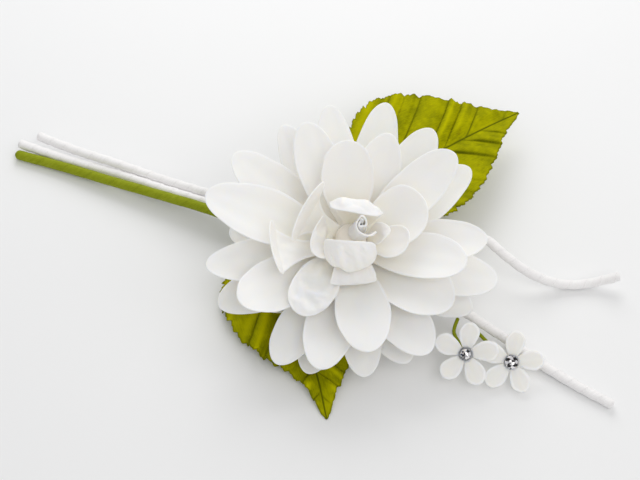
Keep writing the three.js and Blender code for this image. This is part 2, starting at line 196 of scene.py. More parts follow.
class Wiring:
    """Makes and links the nodes of one tree."""

    def __init__(self, tree: bpy.types.NodeTree) -> None:
        """Works on the given tree."""
        self.tree = tree

    @staticmethod
    def _find(sockets: Iterable[bpy.types.NodeSocket], key: int | str) -> bpy.types.NodeSocket:
        """Finds a socket.

        Args:
            sockets: a node's inputs or outputs.
            key: the socket's index, identifier or name.

        Returns:
            The socket. A name means the one of that name that is in use.
        """
        listed = list(sockets)
        if isinstance(key, int):
            return listed[key]
        for socket in listed:
            if key == socket.identifier:
                return socket
        return next(socket for socket in listed if socket.enabled and key == socket.name)

    def node(
        self,
        kind: str,
        settings: Mapping[str, object] | None = None,
        sockets: Mapping[int | str, Value] | None = None,
        out: int | str = 0,
    ) -> Flow:
        """Adds a node.

        Args:
            kind: the node's type.
            settings: its own properties, set first; "stops" holds a ramp's places and colours.
            sockets: values or links for its inputs, by index, identifier or name.
            out: the output to go on with.

        Returns:
            That output.
        """
        made = self.tree.nodes.new(kind)
        for name, value in (settings or {}).items():
            if name == "stops":
                self._set_stops(made, value)
            else:
                setattr(made, name, value)
        for key, value in (sockets or {}).items():
            socket = self._find(made.inputs, key)
            if isinstance(value, Flow):
                self.tree.links.new(value.socket, socket)
            else:
                socket.default_value = value
        return Flow(self, self._find(made.outputs, out))

    @staticmethod
    def _set_stops(node: bpy.types.Node, stops: Sequence[tuple[float, Colour]]) -> None:
        """Puts the stops on a colour ramp.

        Args:
            node: the ramp.
            stops: its places and colours.
        """
        elements = node.color_ramp.elements
        while len(elements) < len(stops):
            elements.new(1.0)
        for element, (place, colour) in zip(elements, stops):
            element.position = place
            element.color = (*colour, 1.0)

    def mix(self, share: Value, first: Value, second: Value) -> Flow:
        """A colour between two colours.

        Args:
            share: how far from the first to the second, 0 to 1.
            first: the first colour.
            second: the second colour.

        Returns:
            The mixed colour.
        """
        first, second = (c if isinstance(c, Flow) else (*c, 1.0) for c in (first, second))
        sockets = {"Factor_Float": share, "A_Color": first, "B_Color": second}
        return self.node("ShaderNodeMix", {"data_type": "RGBA"}, sockets, "Result_Color")

    def vector(self, operation: str, *values: Value) -> Flow:
        """A Vector Math node on the given values."""
        return self.node("ShaderNodeVectorMath", {"operation": operation}, dict(enumerate(values)))

    def noise(self, place: Flow, scale: float, detail: float = 2.0, roughness: float = 0.5) -> Flow:
        """Smooth noise.

        Args:
            place: where it is read.
            scale: swells to the unit of the place.
            detail: how many finer layers it has.
            roughness: how strong each layer is beside the one before it.

        Returns:
            A number between 0 and 1.
        """
        sockets = {"Vector": place, "Scale": scale, "Detail": detail, "Roughness": roughness}
        return self.node("ShaderNodeTexNoise", None, sockets, "Fac")

    def number(self, attribute: str) -> Flow:
        """A number kept on the mesh."""
        return self.node("ShaderNodeAttribute", {"attribute_name": attribute}, None, "Fac")

    def place(self, attribute: str) -> Flow:
        """A vector kept on the mesh."""
        return self.node("ShaderNodeAttribute", {"attribute_name": attribute}, None, "Vector")

    def object_place(self) -> Flow:
        """The point in the object's own metres."""
        return self.node("ShaderNodeTexCoord", None, None, "Object")


@dataclass(frozen=True)
class Finish:
    """A material of the spray. Each kind of finish says in dress() how it looks."""

    name: str
    slot: Slot

    def material(self) -> bpy.types.Material:
        """Makes the material at its first use.

        Returns:
            The Blender material.
        """
        found = bpy.data.materials.get(self.name)
        if found is None:
            found = bpy.data.materials.new(self.name)
            found.use_nodes = True
            shader = found.node_tree.nodes["Principled BSDF"]
            self.dress(Wiring(found.node_tree), shader)
        return found

    def dress(self, wiring: Wiring, shader: bpy.types.Node) -> None:
        """Sets the shader's constants and feeds what varies.

        Args:
            wiring: makes the material's nodes.
            shader: the material's main shader.
        """
        raise NotImplementedError

    @staticmethod
    def hold(shader: bpy.types.Node, constants: Mapping[str, float | Colour]) -> None:
        """Sets the shader's inputs that don't vary."""
        for name, value in constants.items():
            shader.inputs[name].default_value = value

    @staticmethod
    def feed(wiring: Wiring, shader: bpy.types.Node, name: str, value: Flow) -> None:
        """Links a varying value to the shader."""
        wiring.tree.links.new(value.socket, shader.inputs[name])

    def emboss(
        self, wiring: Wiring, shader: bpy.types.Node, height: Flow, depth: float, strength: float
    ) -> None:
        """Feeds a height as relief.

        Args:
            wiring: makes the material's nodes.
            shader: the material's main shader.
            height: from 0 to 1.
            depth: of the relief, in millimetres.
            strength: of the relief, 0 to 1.
        """
        sockets = {"Height": height, "Distance": depth * MM, "Strength": strength}
        self.feed(wiring, shader, "Normal", wiring.node("ShaderNodeBump", None, sockets, "Normal"))


@dataclass(frozen=True)
class FoamFinish(Finish):
    """Soft matt craft foam, with a painted warm shade towards a petal's foot, where the petals crowd into
    the recess, and a painted highlight along its cut rim.

    Attributes:
        white: its body.
        shade_white: the same in its duller patches.
        recess_shade_ivory: a painted warm shade towards the foot, where the petals crowd into the recess.
        rim_highlight: a painted highlight along the cut rim.
        crinkle: strength of the relief.
        relief: depth of the relief, in millimetres.
        cloud_scale: dull patches to the metre.
        dimple_scale: dimples to the metre.
        pore_scale: pores to the metre.
        grain: lengthwise fibres across and along a petal.
        recess_shade_from: share of the petal where the painted warm shade starts to fade.
        recess_shade_to: share where it has gone.
        glow: share of the light that goes into the foam.
        glow_spread: how far red, green and blue light get in it, as shares of glow_depth.
        glow_depth: in millimetres.
    """

    white: Colour = (0.975, 0.952, 0.908)
    shade_white: Colour = (0.95, 0.932, 0.895)
    recess_shade_ivory: Colour = (0.955, 0.905, 0.81)
    rim_highlight: Colour = (0.985, 0.978, 0.96)
    crinkle: float = 0.25
    relief: float = 0.12
    cloud_scale: float = 90.0
    dimple_scale: float = 700.0
    pore_scale: float = 2600.0
    grain: Place = (38.0, 3.0, 0.0)
    recess_shade_from: float = 0.04
    recess_shade_to: float = 0.78
    glow: float = 0.8
    glow_spread: Place = (1.0, 0.88, 0.70)
    glow_depth: float = 1.4

    def dress(self, wiring: Wiring, shader: bpy.types.Node) -> None:
        """Mottles the foam, paints a warm shade at its foot and a highlight along its cut rim, and feeds its
        pores and fibres as relief.

        Args:
            wiring: makes the material's nodes.
            shader: the material's main shader.
        """
        place = wiring.object_place()
        cloudy = wiring.noise(place, self.cloud_scale)
        pores = wiring.noise(place, self.pore_scale, 3.0, 0.6)
        dimples = wiring.noise(place, self.dimple_scale)
        fibres = wiring.noise(wiring.vector("MULTIPLY", wiring.place("petal"), self.grain), 1.0)
        body = wiring.mix(cloudy.ramp(0.3, 0.7) * 0.7, self.white, self.shade_white)
        # Painted warm shade towards the foot, where the petals crowd into the recess.
        recess_shaded = wiring.mix(wiring.number("along").ramp(self.recess_shade_from, self.recess_shade_to), self.recess_shade_ivory, body)
        # Painted highlight along the cut rim.
        edged = wiring.mix(wiring.number("rim").ramp(0.1, 1.0) * 0.8, recess_shaded, self.rim_highlight)
        self.feed(wiring, shader, "Base Color", edged)
        self.feed(wiring, shader, "Roughness", 0.6 + 0.2 * pores)
        relief = pores * 0.35 + dimples * 0.4 + fibres * 0.25
        self.emboss(wiring, shader, relief, self.relief, self.crinkle)
        constants = {
            "Subsurface Weight": self.glow,
            "Subsurface Radius": self.glow_spread,
            "Subsurface Scale": self.glow_depth * MM,
            "Specular IOR Level": 0.3,
            "Sheen Weight": 0.12,
            "Sheen Roughness": 0.6,
        }
        self.hold(shader, constants)


@dataclass(frozen=True)
class LeafFinish(Finish):
    """Starched satin, moulded hot: dark in the pressed veins from dye and painted shade, with painted shade
    beside each fold and a painted highlight on the folds that stand up, mottled between them, with a fine
    weave.

    Attributes:
        ridge: a painted highlight along the folds that stand up.
        bright: its paler mottling.
        deep: its darker mottling.
        vein: in the pressed veins, darkened by dye and painted shade, in the painted shade beside each fold,
            and along the edge.
        stain: its few brown spots.
        mottle_scale: mottles to the metre.
        spot_scale: spots to the metre.
        streak: streaks along and across the blade, to the millimetre.
        thread_along: from one thread to the next along the blade, in millimetres.
        thread_across: the same across it.
        relief: depth of the weave, in millimetres.
    """

    ridge: Colour = (0.52, 0.50, 0.0006)
    bright: Colour = (0.42, 0.41, 0.0006)
    deep: Colour = (0.22, 0.23, 0.0006)
    vein: Colour = (0.06, 0.075, 0.0006)
    stain: Colour = (0.20, 0.13, 0.004)
    mottle_scale: float = 160.0
    spot_scale: float = 330.0
    streak: Place = (0.5, 5.0, 0.0)
    thread_along: float = 0.34
    thread_across: float = 0.30
    relief: float = 0.08

    def dress(self, wiring: Wiring, shader: bpy.types.Node) -> None:
        """Mottles and streaks the satin, paints a highlight on its standing folds and shade beside them,
        darkens its veins with dye and painted shade, darkens its edge, and feeds its weave as relief.

        Args:
            wiring: makes the material's nodes.
            shader: the material's main shader.
        """
        place = wiring.object_place()
        blade = wiring.place("blade")
        mottled = wiring.noise(place, self.mottle_scale, 4.0, 0.6)
        streaks = wiring.noise(wiring.vector("MULTIPLY", blade, self.streak), 1.0, 3.0)
        spots = wiring.noise(place, self.spot_scale)
        far = wiring.node("ShaderNodeSeparateXYZ", None, {"Vector": blade}, "X")
        across, ridge = (Flow(wiring, far.socket.node.outputs[axis]) for axis in "YZ")
        threads_along = (far * (FULL_TURN / self.thread_along)).sine()
        threads_across = (across * (FULL_TURN / self.thread_across)).sine()
        body = wiring.mix((mottled * 0.6 + streaks * 0.4).ramp(0.36, 0.64), self.deep, self.bright)
        # Painted highlight along the folds that stand up.
        body = wiring.mix(ridge * (0.25 + mottled), body, self.ridge)
        # Dark in the pressed veins, from dye and painted shade, and painted shade beside each fold.
        veined = wiring.mix(wiring.number("vein").ramp(0.05, 0.95) * 0.85, body, self.vein)
        stained = wiring.mix(spots.ramp(0.66, 0.8) * 0.35, veined, self.stain)
        edged = wiring.mix(wiring.number("rim").ramp(0.35, 1.0) * 0.45, stained, self.vein)
        self.feed(wiring, shader, "Base Color", edged)
        self.feed(wiring, shader, "Roughness", 0.6 + 0.2 * mottled)
        weave = threads_along * threads_across * 0.25 + 0.5 + 0.4 * streaks
        self.emboss(wiring, shader, weave, self.relief, 0.35)
        constants = {
            "Specular IOR Level": 0.03,
            "Subsurface Weight": 0.08,
            "Subsurface Radius": (0.6, 0.8, 0.1),
            "Subsurface Scale": 1.0 * MM,
        }
        self.hold(shader, constants)


@dataclass(frozen=True)
class WrapFinish(Finish):
    """A crepe paper strip wound round a wire: creases along the strip with painted shade in them, and a
    painted shadow where it laps itself.

    Attributes:
        body: its colour.
        crease: painted shade in the creases.
        lap: in the shadow of each lap.
        roughness: of its smoothest places.
        gloss: its shine.
        crease_stretch: creases round and along the wire.
        fibre_stretch: fibres round and along the wire.
        relief: depth of the creases, in millimetres.
    """

    body: Colour = (0.985, 0.975, 0.975)
    crease: Colour = (0.905, 0.89, 0.89)
    lap: Colour = (0.76, 0.74, 0.735)
    roughness: float = 0.72
    gloss: float = 0.3
    crease_stretch: Place = (2.2, 2.2, 0.35)
    fibre_stretch: Place = (6.0, 6.0, 0.6)
    relief: float = 0.14

    def dress(self, wiring: Wiring, shader: bpy.types.Node) -> None:
        """Paints shade into the paper's creases and a shadow under its laps, and feeds its creases and
        fibres as relief.

        Args:
            wiring: makes the material's nodes.
            shader: the material's main shader.
        """
        wound = wiring.place("wound")
        creases = wiring.noise(wiring.vector("MULTIPLY", wound, self.crease_stretch), 2.4, 3.0, 0.6)
        fibres = wiring.noise(wiring.vector("MULTIPLY", wound, self.fibre_stretch), 3.0)
        cloudy = wiring.noise(wiring.object_place(), 120.0)
        lap_shadow = wiring.number("lap").ramp(0.86, 1.0)
        # Painted shade in the creases.
        painted_fold_shade = wiring.mix(creases.ramp(0.35, 0.68), self.crease, self.body)
        dusty = wiring.mix(cloudy.ramp(0.3, 0.75) * 0.4, painted_fold_shade, self.crease)
        self.feed(wiring, shader, "Base Color", wiring.mix(lap_shadow * 0.6, dusty, self.lap))
        self.feed(wiring, shader, "Roughness", self.roughness + 0.15 * fibres)
        self.emboss(wiring, shader, creases * 0.6 + fibres * 0.4, self.relief, 0.7)
        self.hold(shader, {"Specular IOR Level": self.gloss, "Sheen Weight": self.gloss / 2})


@dataclass(frozen=True)
class FibreFinish(Finish):
    """Felt or bare foam: matted fibres over a cloudy ground.

    Attributes:
        body: its colour.
        shade: the same in its duller patches.
        relief: depth of the fibres, in millimetres.
    """

    body: Colour = (0.86, 0.85, 0.82)
    shade: Colour = (0.76, 0.745, 0.70)
    relief: float = 0.2

    def dress(self, wiring: Wiring, shader: bpy.types.Node) -> None:
        """Mats fibres over a cloudy ground.

        Args:
            wiring: makes the material's nodes.
            shader: the material's main shader.
        """
        place = wiring.object_place()
        bent = wiring.noise(place, 400.0)
        matted = wiring.noise(wiring.vector("ADD", place, bent * 0.002), 1500.0, 4.0, 0.7)
        cloudy = wiring.noise(place, 140.0, 3.0)
        ground = wiring.mix(cloudy.ramp(0.3, 0.7), self.body, self.shade)
        self.feed(wiring, shader, "Base Color", wiring.mix(matted.ramp(0.35, 0.7) * 0.5, ground, self.body))
        self.feed(wiring, shader, "Roughness", 0.8 + 0.15 * matted)
        self.emboss(wiring, shader, matted, self.relief, 0.6)
        self.hold(shader, {"Sheen Weight": 0.3})


@dataclass(frozen=True)
class CrystalFinish(Finish):
    """Cut glass over foil, with a painted reflection on each facet: a lighter or a darker part of the room.

    Attributes:
        painted_reflection: places and colours of the ramp of painted reflections, from the darkest facet to
            the lightest.
    """

    painted_reflection: tuple[tuple[float, Colour], ...] = (
        (0.0, (0.003, 0.003, 0.004)),
        (0.38, (0.02, 0.019, 0.021)),
        (0.52, (0.34, 0.32, 0.33)),
        (0.7, (0.93, 0.92, 0.94)),
    )

    def dress(self, wiring: Wiring, shader: bpy.types.Node) -> None:
        """Paints a reflection of its own part of the room on each facet, and gives the glass fine scratches.

        Args:
            wiring: makes the material's nodes.
            shader: the material's main shader.
        """
        sockets = {"Fac": wiring.number("facet")}
        painted_reflection = wiring.node("ShaderNodeValToRGB", {"stops": self.painted_reflection}, sockets, "Color")
        scratches = wiring.noise(wiring.object_place(), 3000.0)
        self.feed(wiring, shader, "Base Color", painted_reflection)
        self.feed(wiring, shader, "Roughness", 0.03 + 0.08 * scratches)
        self.hold(shader, {"Metallic": 0.75, "Coat Weight": 0.35, "Coat Roughness": 0.02})


@dataclass(frozen=True)
class TableFinish(Finish):
    """The plain pale table top."""

    body: Colour = (0.875, 0.88, 0.885)
    shade: Colour = (0.865, 0.87, 0.875)

    def dress(self, wiring: Wiring, shader: bpy.types.Node) -> None:
        """Clouds the table top faintly.

        Args:
            wiring: makes the material's nodes.
            shader: the material's main shader.
        """
        cloudy = wiring.noise(wiring.object_place(), 3.0)
        self.feed(wiring, shader, "Base Color", wiring.mix(cloudy, self.body, self.shade))
        self.hold(shader, {"Roughness": 0.7, "Specular IOR Level": 0.2})


FOAM = FoamFinish("white_foam", Slot.FOAM)
BUD_FOAM = FoamFinish(
    "bud_foam",
    Slot.FOAM,
    white=(0.975, 0.955, 0.92),
    shade_white=(0.955, 0.93, 0.885),
    crinkle=0.5,
)
BLOSSOM_FOAM = FoamFinish(
    "blossom_foam",
    Slot.FOAM,
    white=(0.90, 0.88, 0.84),
    shade_white=(0.87, 0.85, 0.805),
    recess_shade_ivory=(0.86, 0.83, 0.76),
)
LEAF = LeafFinish("leaf_satin", Slot.LEAF)
# Its crease colour is painted shade in the creases, and its lap colour a painted shadow under each lap.
STEM_TAPE = WrapFinish(
    "stem_tape",
    Slot.TAPE,
    body=(0.325, 0.37, 0.022),
    crease=(0.23, 0.275, 0.006),
    lap=(0.13, 0.165, 0.004),
    roughness=0.62,
    gloss=0.08,
)
CREPE = WrapFinish("white_crepe", Slot.PAPER)
FELT = FibreFinish("back_felt", Slot.FELT)
BARE_FOAM = FibreFinish(
    "core_foam",
    Slot.CORE,
    body=(0.94, 0.90, 0.82),
    shade=(0.90, 0.84, 0.74),
    relief=0.12,
)
CRYSTAL = CrystalFinish("cut_crystal", Slot.CRYSTAL)
TABLE = TableFinish("table_top", Slot.PAPER)


def put(name: str, data: bpy.types.ID) -> bpy.types.Object:
    """Puts a new object in the scene.

    Args:
        name: the object's name.
        data: the mesh, line, lamp or camera that it shows.

    Returns:
        The object.
    """
    made = bpy.data.objects.new(name, data)
    bpy.context.scene.collection.objects.link(made)
    return made


def band(low: Sequence[int], high: Sequence[int]) -> Faces:
    """The faces between two closed rings of vertices.

    Args:
        low: the lower ring, anticlockwise as seen from above.
        high: the upper ring, in step with it.

    Returns:
        The faces, which point out of the rings.
    """
    following = [*range(1, len(low)), 0]
    return [(low[k], low[n], high[n], high[k]) for k, n in enumerate(following)]


class Layout:
    """Where the spray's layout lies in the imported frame, and how a made piece is handed over."""

    def __init__(self) -> None:
        """Finds the shift from the layout to the frame, from where the felt disc lies in it."""
        low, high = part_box("back_disc")
        middle = -2 * GLUE_GAP - DISC_THICKNESS / 2
        tilt = math.radians(FACE_TILT)
        laid_out = Vector((0.0, -math.sin(tilt) * middle, math.cos(tilt) * middle + FOOT_HEIGHT))
        self.shift = (low + high) / 2 / MM - laid_out
        self.pieces = 0

    def matrix(self, *steps: Matrix) -> Matrix:
        """The whole placement of a mesh.

        Args:
            steps: turns and shifts from the mesh to the layout, of which the last is done first.

        Returns:
            The step from the mesh's millimetres to its place in metres.
        """
        placed = Matrix.Scale(MM, 4) @ Matrix.Translation(self.shift)
        for step in steps:
            placed = placed @ step
        return placed

    def mesh(
        self,
        name: str,
        points: np.ndarray,
        faces: Sequence[Sequence[int]],
        numbers: Mapping[str, np.ndarray] | None = None,
        places: Mapping[str, np.ndarray] | None = None,
        steps: Sequence[Matrix] = (),
        smooth: bool = True,
    ) -> bpy.types.Object:
        """Makes an object with its place in its mesh.

        Args:
            name: the piece's name.
            points: its vertices in layout millimetres, or before the given steps.
            faces: its faces, which point outwards.
            numbers: what is kept for each vertex, by name.
            places: vectors kept for each vertex, by name.
            steps: turns and shifts from the points to the layout.
            smooth: whether it is shaded smooth.

        Returns:
            The new object.
        """
        mesh = bpy.data.meshes.new(name)
        mesh.from_pydata(points.tolist(), [], [list(face) for face in faces])
        for key, values in (numbers or {}).items():
            mesh.attributes.new(key, "FLOAT", "POINT").data.foreach_set("value", values.astype(np.float32))
        for key, values in (places or {}).items():
            kept = mesh.attributes.new(key, "FLOAT_VECTOR", "POINT")
            kept.data.foreach_set("vector", values.astype(np.float32).ravel())
        mesh.transform(self.matrix(*steps))
        mesh.polygons.foreach_set("use_smooth", [smooth] * len(mesh.polygons))
        mesh.update()
        return put(name, mesh)

    def settle(self, made: bpy.types.Object, finish: Finish, *nodes: str) -> None:
        """Dresses a finished piece and hands it over.

        Args:
            made: the piece, in place.
            finish: its material.
            nodes: the CAD nodes that it stands for.
        """
        made.data.materials.clear()
        made.data.materials.append(finish.material())
        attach(made, BODY)
        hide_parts(*nodes)
        self.pieces += 1
        log.info("%s: %d faces, %s", made.name, len(made.data.polygons), finish.name)


def fraction(values: np.ndarray) -> np.ndarray:
    """The part of each value past the whole number below it."""
    return values - np.floor(values)


def smooth_step(values: np.ndarray, low: float, high: float) -> np.ndarray:
    """Values smoothly brought from 0 at low to 1 at high."""
    share = np.clip((values - low) / (high - low), 0.0, 1.0)
    return share * share * (3 - 2 * share)


def smoothed(values: np.ndarray, span: int) -> np.ndarray:
    """Each value as the mean of an odd span of values round it."""
    padded = np.pad(values, span // 2, mode="edge")
    return np.convolve(padded, np.ones(span) / span, mode="valid")


def unit(vectors: np.ndarray) -> np.ndarray:
    """The vectors at length 1."""
    return vectors / np.maximum(np.linalg.norm(vectors, axis=-1, keepdims=True), 1e-9)


@dataclass
class Sheet:
    """A thin piece cut from sheet, as a grid of points through its middle. Rows run along it.

    Attributes:
        middle: the grid's points, rows by columns by three.
        half: half its thickness at each point.
        bulge: how far its rounded rim stands out past the grid.
        numbers: what is kept at each point for the finish, by name.
        places: vectors kept at each point for the finish, by name.
        arc_steps: flats that the rim's round is made of.
    """

    middle: np.ndarray
    half: np.ndarray
    bulge: float
    numbers: dict[str, np.ndarray]
    places: dict[str, np.ndarray]
    arc_steps: int = 4

    def _rim(self) -> list[int]:
        """Follows the grid's edge.

        Returns:
            The grid's outer points in order, each once.
        """
        rows, columns = self.middle.shape[:2]
        at = np.arange(rows * columns).reshape(rows, columns)
        sides = [at[:-1, 0], at[-1, :-1], at[:0:-1, -1], at[0, :0:-1]]
        return [int(k) for side in sides for k in side]

    def normals(self) -> np.ndarray:
        """Finds which way the upper side faces.

        Returns:
            The direction at each point, at length 1.
        """
        along = np.gradient(self.middle, axis=0)
        across = np.gradient(self.middle, axis=1)
        return unit(np.cross(along, across))

    def shell(self) -> tuple[np.ndarray, Faces, dict[str, np.ndarray], dict[str, np.ndarray]]:
        """The closed shell round the sheet.

        Returns:
            Its vertices, its faces, and its kept numbers and vectors for each vertex.
        """
        normal = self.normals()
        upper = (self.middle + normal * self.half[..., None]).reshape(-1, 3)
        lower = (self.middle - normal * self.half[..., None]).reshape(-1, 3)
        rim = self._rim()
        centre = self.middle.reshape(-1, 3)[rim]
        facing = normal.reshape(-1, 3)[rim]
        run = np.roll(centre, -1, axis=0) - np.roll(centre, 1, axis=0)
        outward = unit(np.cross(run, facing))
        tall = self.half.reshape(-1)[rim][:, None]
        parts = [upper, lower]
        for step in range(1, self.arc_steps):
            angle = math.pi * (step / self.arc_steps - 0.5)
            parts.append(centre + outward * (self.bulge * math.cos(angle)) + facing * tall * math.sin(angle))
        every = np.arange(self.half.size)
        source = np.concatenate([every, every, np.tile(rim, self.arc_steps - 1)])
        numbers = {key: values.reshape(-1)[source] for key, values in self.numbers.items()}
        places = {key: values.reshape(-1, 3)[source] for key, values in self.places.items()}
        return np.concatenate(parts), self._faces(rim), numbers, places

    def _faces(self, rim: list[int]) -> Faces:
        """Closes the shell.

        Args:
            rim: the grid's outer points in order.

        Returns:
            The faces of the upper side, the lower side and the round of the rim.
        """
        count = self.half.size
        at = np.arange(count).reshape(self.half.shape)
        quads = np.stack([at[:-1, :-1], at[1:, :-1], at[1:, 1:], at[:-1, 1:]], axis=-1).reshape(-1, 4)
        faces = [tuple(quad) for quad in quads.tolist()]
        faces += [tuple(count + k for k in reversed(quad)) for quad in quads.tolist()]
        rings = [[count + k for k in rim]]
        for step in range(self.arc_steps - 1):
            start = 2 * count + step * len(rim)
            rings.append(range(start, start + len(rim)))
        rings.append(rim)
        for low, high in zip(rings, rings[1:]):
            faces += band(low, high)
        return faces


@dataclass(frozen=True)
class PetalCut:
    """One foam petal that grows along +X from the peony's axis, before it is turned round the axis.

    The pairs in capitals are the bounds of its random draws.

    Attributes:
        turn: degrees round the axis from +X.
        level: its place up the core.
        length: along its curved line.
        width: at its widest place.
        rise: slope at the foot, in degrees.
        curl: change of slope over the whole petal.
        bend: change of slope between bend_from and bend_to along it.
        bend_from: where the bend starts, as a share of its length.
        bend_to: where the bend ends.
        cup: curvature across, in 1/mm.
        sway: degrees that its line turns sideways by the tip.
        foot: width at the foot, as a share of the full width.
        belly: where it is widest, as a share of its length.
        blunt: how square its tip is.
        fan: how late it widens after its foot.
        start: the foot's distance from the axis.
        thickness: of its foam.
        flute: depth of its soft lengthwise furrows.
        wave: depth of the waves in its rim.
        uneven: how far its two sides differ from the drawn outline, as a share of its width.
        crumple: depth of the small creases where it was stretched and glued.
        highlight_reach: reach of the painted highlight along the rim.
        rim_thin: how much thinner the foam is at the rim, as a share.
        thin_reach: reach of the thinner foam.
        tip_closing: how nearly its tip closes to a point, 0 to 1.
        least_half: the least width to one side of its line.
    """

    BLUNTNESS = (0.86, 1.16)
    RIPPLES = (5, 9)
    FINE_RIPPLES = (19, 31)
    FURROWS = (5.5, 8.5)
    RIM_WAVES = (7, 11)
    TIP_LIFT = (-1.0, 1.2)
    CREASE_PITCH = (3.0, 6.5)

    turn: float
    level: float
    length: float
    width: float
    rise: float
    curl: float = 0.0
    bend: float = 0.0
    bend_from: float = 0.55
    bend_to: float = 1.0
    cup: float = 0.05
    sway: float = 0.0
    foot: float = 0.42
    belly: float = 0.58
    blunt: float = 1.85
    fan: float = 1.1
    start: float = CORE_RADIUS + GLUE_GAP
    thickness: float = 0.62
    flute: float = 0.06
    wave: float = 0.4
    uneven: float = 0.035
    crumple: float = 0.0
    highlight_reach: float = 0.55
    rim_thin: float = 0.45
    thin_reach: float = 1.8
    tip_closing: float = 0.994
    least_half: float = 0.05

    def width_share(self, along: np.ndarray, blunt: float) -> np.ndarray:
        """The outline of one side: a narrow foot, the widest place at belly, a round tip.

        Args:
            along: shares of the petal's length.
            blunt: how square the tip is on this side.

        Returns:
            The width at each as a share of the full width.
        """
        opening = np.sin(np.pi / 2 * np.clip(along / self.belly, 0, 1)) ** self.fan
        closing = np.clip((along - self.belly) / (1 - self.belly), 0, 1) ** blunt
        widening = self.foot + (1 - self.foot) * opening
        return np.where(along < self.belly, widening, np.sqrt(1 - self.tip_closing * closing))

    def sheet(self, rows: int, columns: int, seed: int) -> Sheet:
        """The petal's sheet.

        Args:
            rows: steps along it.
            columns: steps across it.
            seed: for its small irregularities.

        Returns:
            The sheet, in the peony's own frame before its turn.
        """
        chance = random.Random(seed)
        bulge = RIM_BULGE * self.thickness
        t = np.sin(np.pi / 2 * np.arange(rows + 1) / rows)
        before = np.concatenate([[0.0], t[:-1]])
        middle = (t + before) / 2
        bent = self.bend * smooth_step(middle, self.bend_from, self.bend_to)
        slope = np.radians(self.rise + self.curl * middle + bent)
        heading = np.radians(self.sway * middle)
        flat = np.cos(slope)
        along = np.stack([flat * np.cos(heading), flat * np.sin(heading), np.sin(slope)], axis=-1)
        clear = self.thickness / 2 * math.sin(math.radians(self.rise))
        foot = np.array([self.start + clear, 0.0, self.level * LEVEL_STEP + FIRST_LEVEL])
        steps = (t - before) * (self.length - bulge)
        spine = foot + np.cumsum(along * steps[:, None], axis=0)
        across = np.stack([-np.sin(heading), np.cos(heading), np.zeros(rows + 1)], axis=-1)
        inward = np.cross(along, across)
        u = np.sin(np.pi / 2 * np.linspace(-1, 1, columns + 1))
        sides = []
        for _ in range(2):
            share = self.width_share(t, self.blunt * chance.uniform(*self.BLUNTNESS))
            ripple = np.sin(chance.uniform(*self.RIPPLES) * t + chance.uniform(*ANY_PHASE))
            ripple = ripple * smooth_step(t, 0.25, 0.6)
            fine = 0.35 * np.sin(chance.uniform(*self.FINE_RIPPLES) * t) * smooth_step(t, 0.5, 0.8)
            reach = self.width / 2 * share * (1 + self.uneven * (ripple + fine)) - bulge
            sides.append(np.maximum(reach, self.least_half))
        half = np.minimum(*sides)
        full = np.where(u[None, :] < 0, sides[0][:, None], sides[1][:, None])
        lean = chance.uniform(-1, 1) * self.uneven * self.width * smooth_step(t, 0.5, 1.0)
        aside = full * u[None, :] + lean[:, None]
        bow = self.cup * aside
        points = spine[:, None, :] + across[:, None, :] * (np.sin(bow) / self.cup)[..., None]
        taper = np.clip(full / (self.width / 2), 0, 1)
        lift = (1 - np.cos(bow)) / self.cup + self._relief(t, u, taper, chance)
        points = points + inward[:, None, :] * lift[..., None]
        from_side = half[:, None] * (1 - np.abs(u[None, :]))
        from_tip = (self.length * (1 - t))[:, None]
        from_rim = np.minimum(from_side, from_tip)
        # Painted highlight along the cut rim.
        rim = np.exp(-((from_rim / self.highlight_reach) ** 2))
        thinning = 1 - self.rim_thin * np.exp(-from_rim / self.thin_reach)
        down = np.broadcast_to(t[:, None], rim.shape)
        scale = np.stack([np.broadcast_to(u, rim.shape), down, np.zeros_like(rim)], axis=-1)
        # By the along share the finish paints a warm shade towards the foot; the painted rim highlight is
        # kept off the foot.
        numbers = {"along": down.copy(), "rim": rim * smooth_step(down, 0.15, 0.4)}
        return Sheet(points, self.thickness / 2 * thinning, bulge, numbers, {"petal": scale})

    def _relief(self, t: np.ndarray, u: np.ndarray, taper: np.ndarray, chance: random.Random) -> np.ndarray:
        """The lift over the smooth petal.

        Args:
            t: shares of its length.
            u: places across it, from -1 to 1.
            taper: its width there as a share of the full width.
            chance: the petal's own random draws.

        Returns:
            The pressed furrows, the waves of the rim and the creases, in millimetres.
        """
        across, down = u[None, :], t[:, None]
        furrows = np.sin(chance.uniform(*self.FURROWS) * across + chance.uniform(*ANY_PHASE))
        furrows = furrows * self.flute * smooth_step(down, 0.12, 0.4) * (1 - smooth_step(down, 0.8, 1.0))
        left = np.sin(chance.uniform(*self.RIM_WAVES) * down + chance.uniform(*ANY_PHASE))
        right = np.sin(chance.uniform(*self.RIM_WAVES) * down + chance.uniform(*ANY_PHASE))
        waves = np.where(across < 0, left, right) * np.abs(across) ** 3
        waves = waves * smooth_step(down, 0.35, 0.7) * taper
        tip = chance.uniform(*self.TIP_LIFT) * smooth_step(down, 0.7, 1.0)
        lift = furrows + self.wave * (waves + tip)
        if self.crumple > 0:
            lift = lift + self._creases(down, across, taper, chance)
        return lift

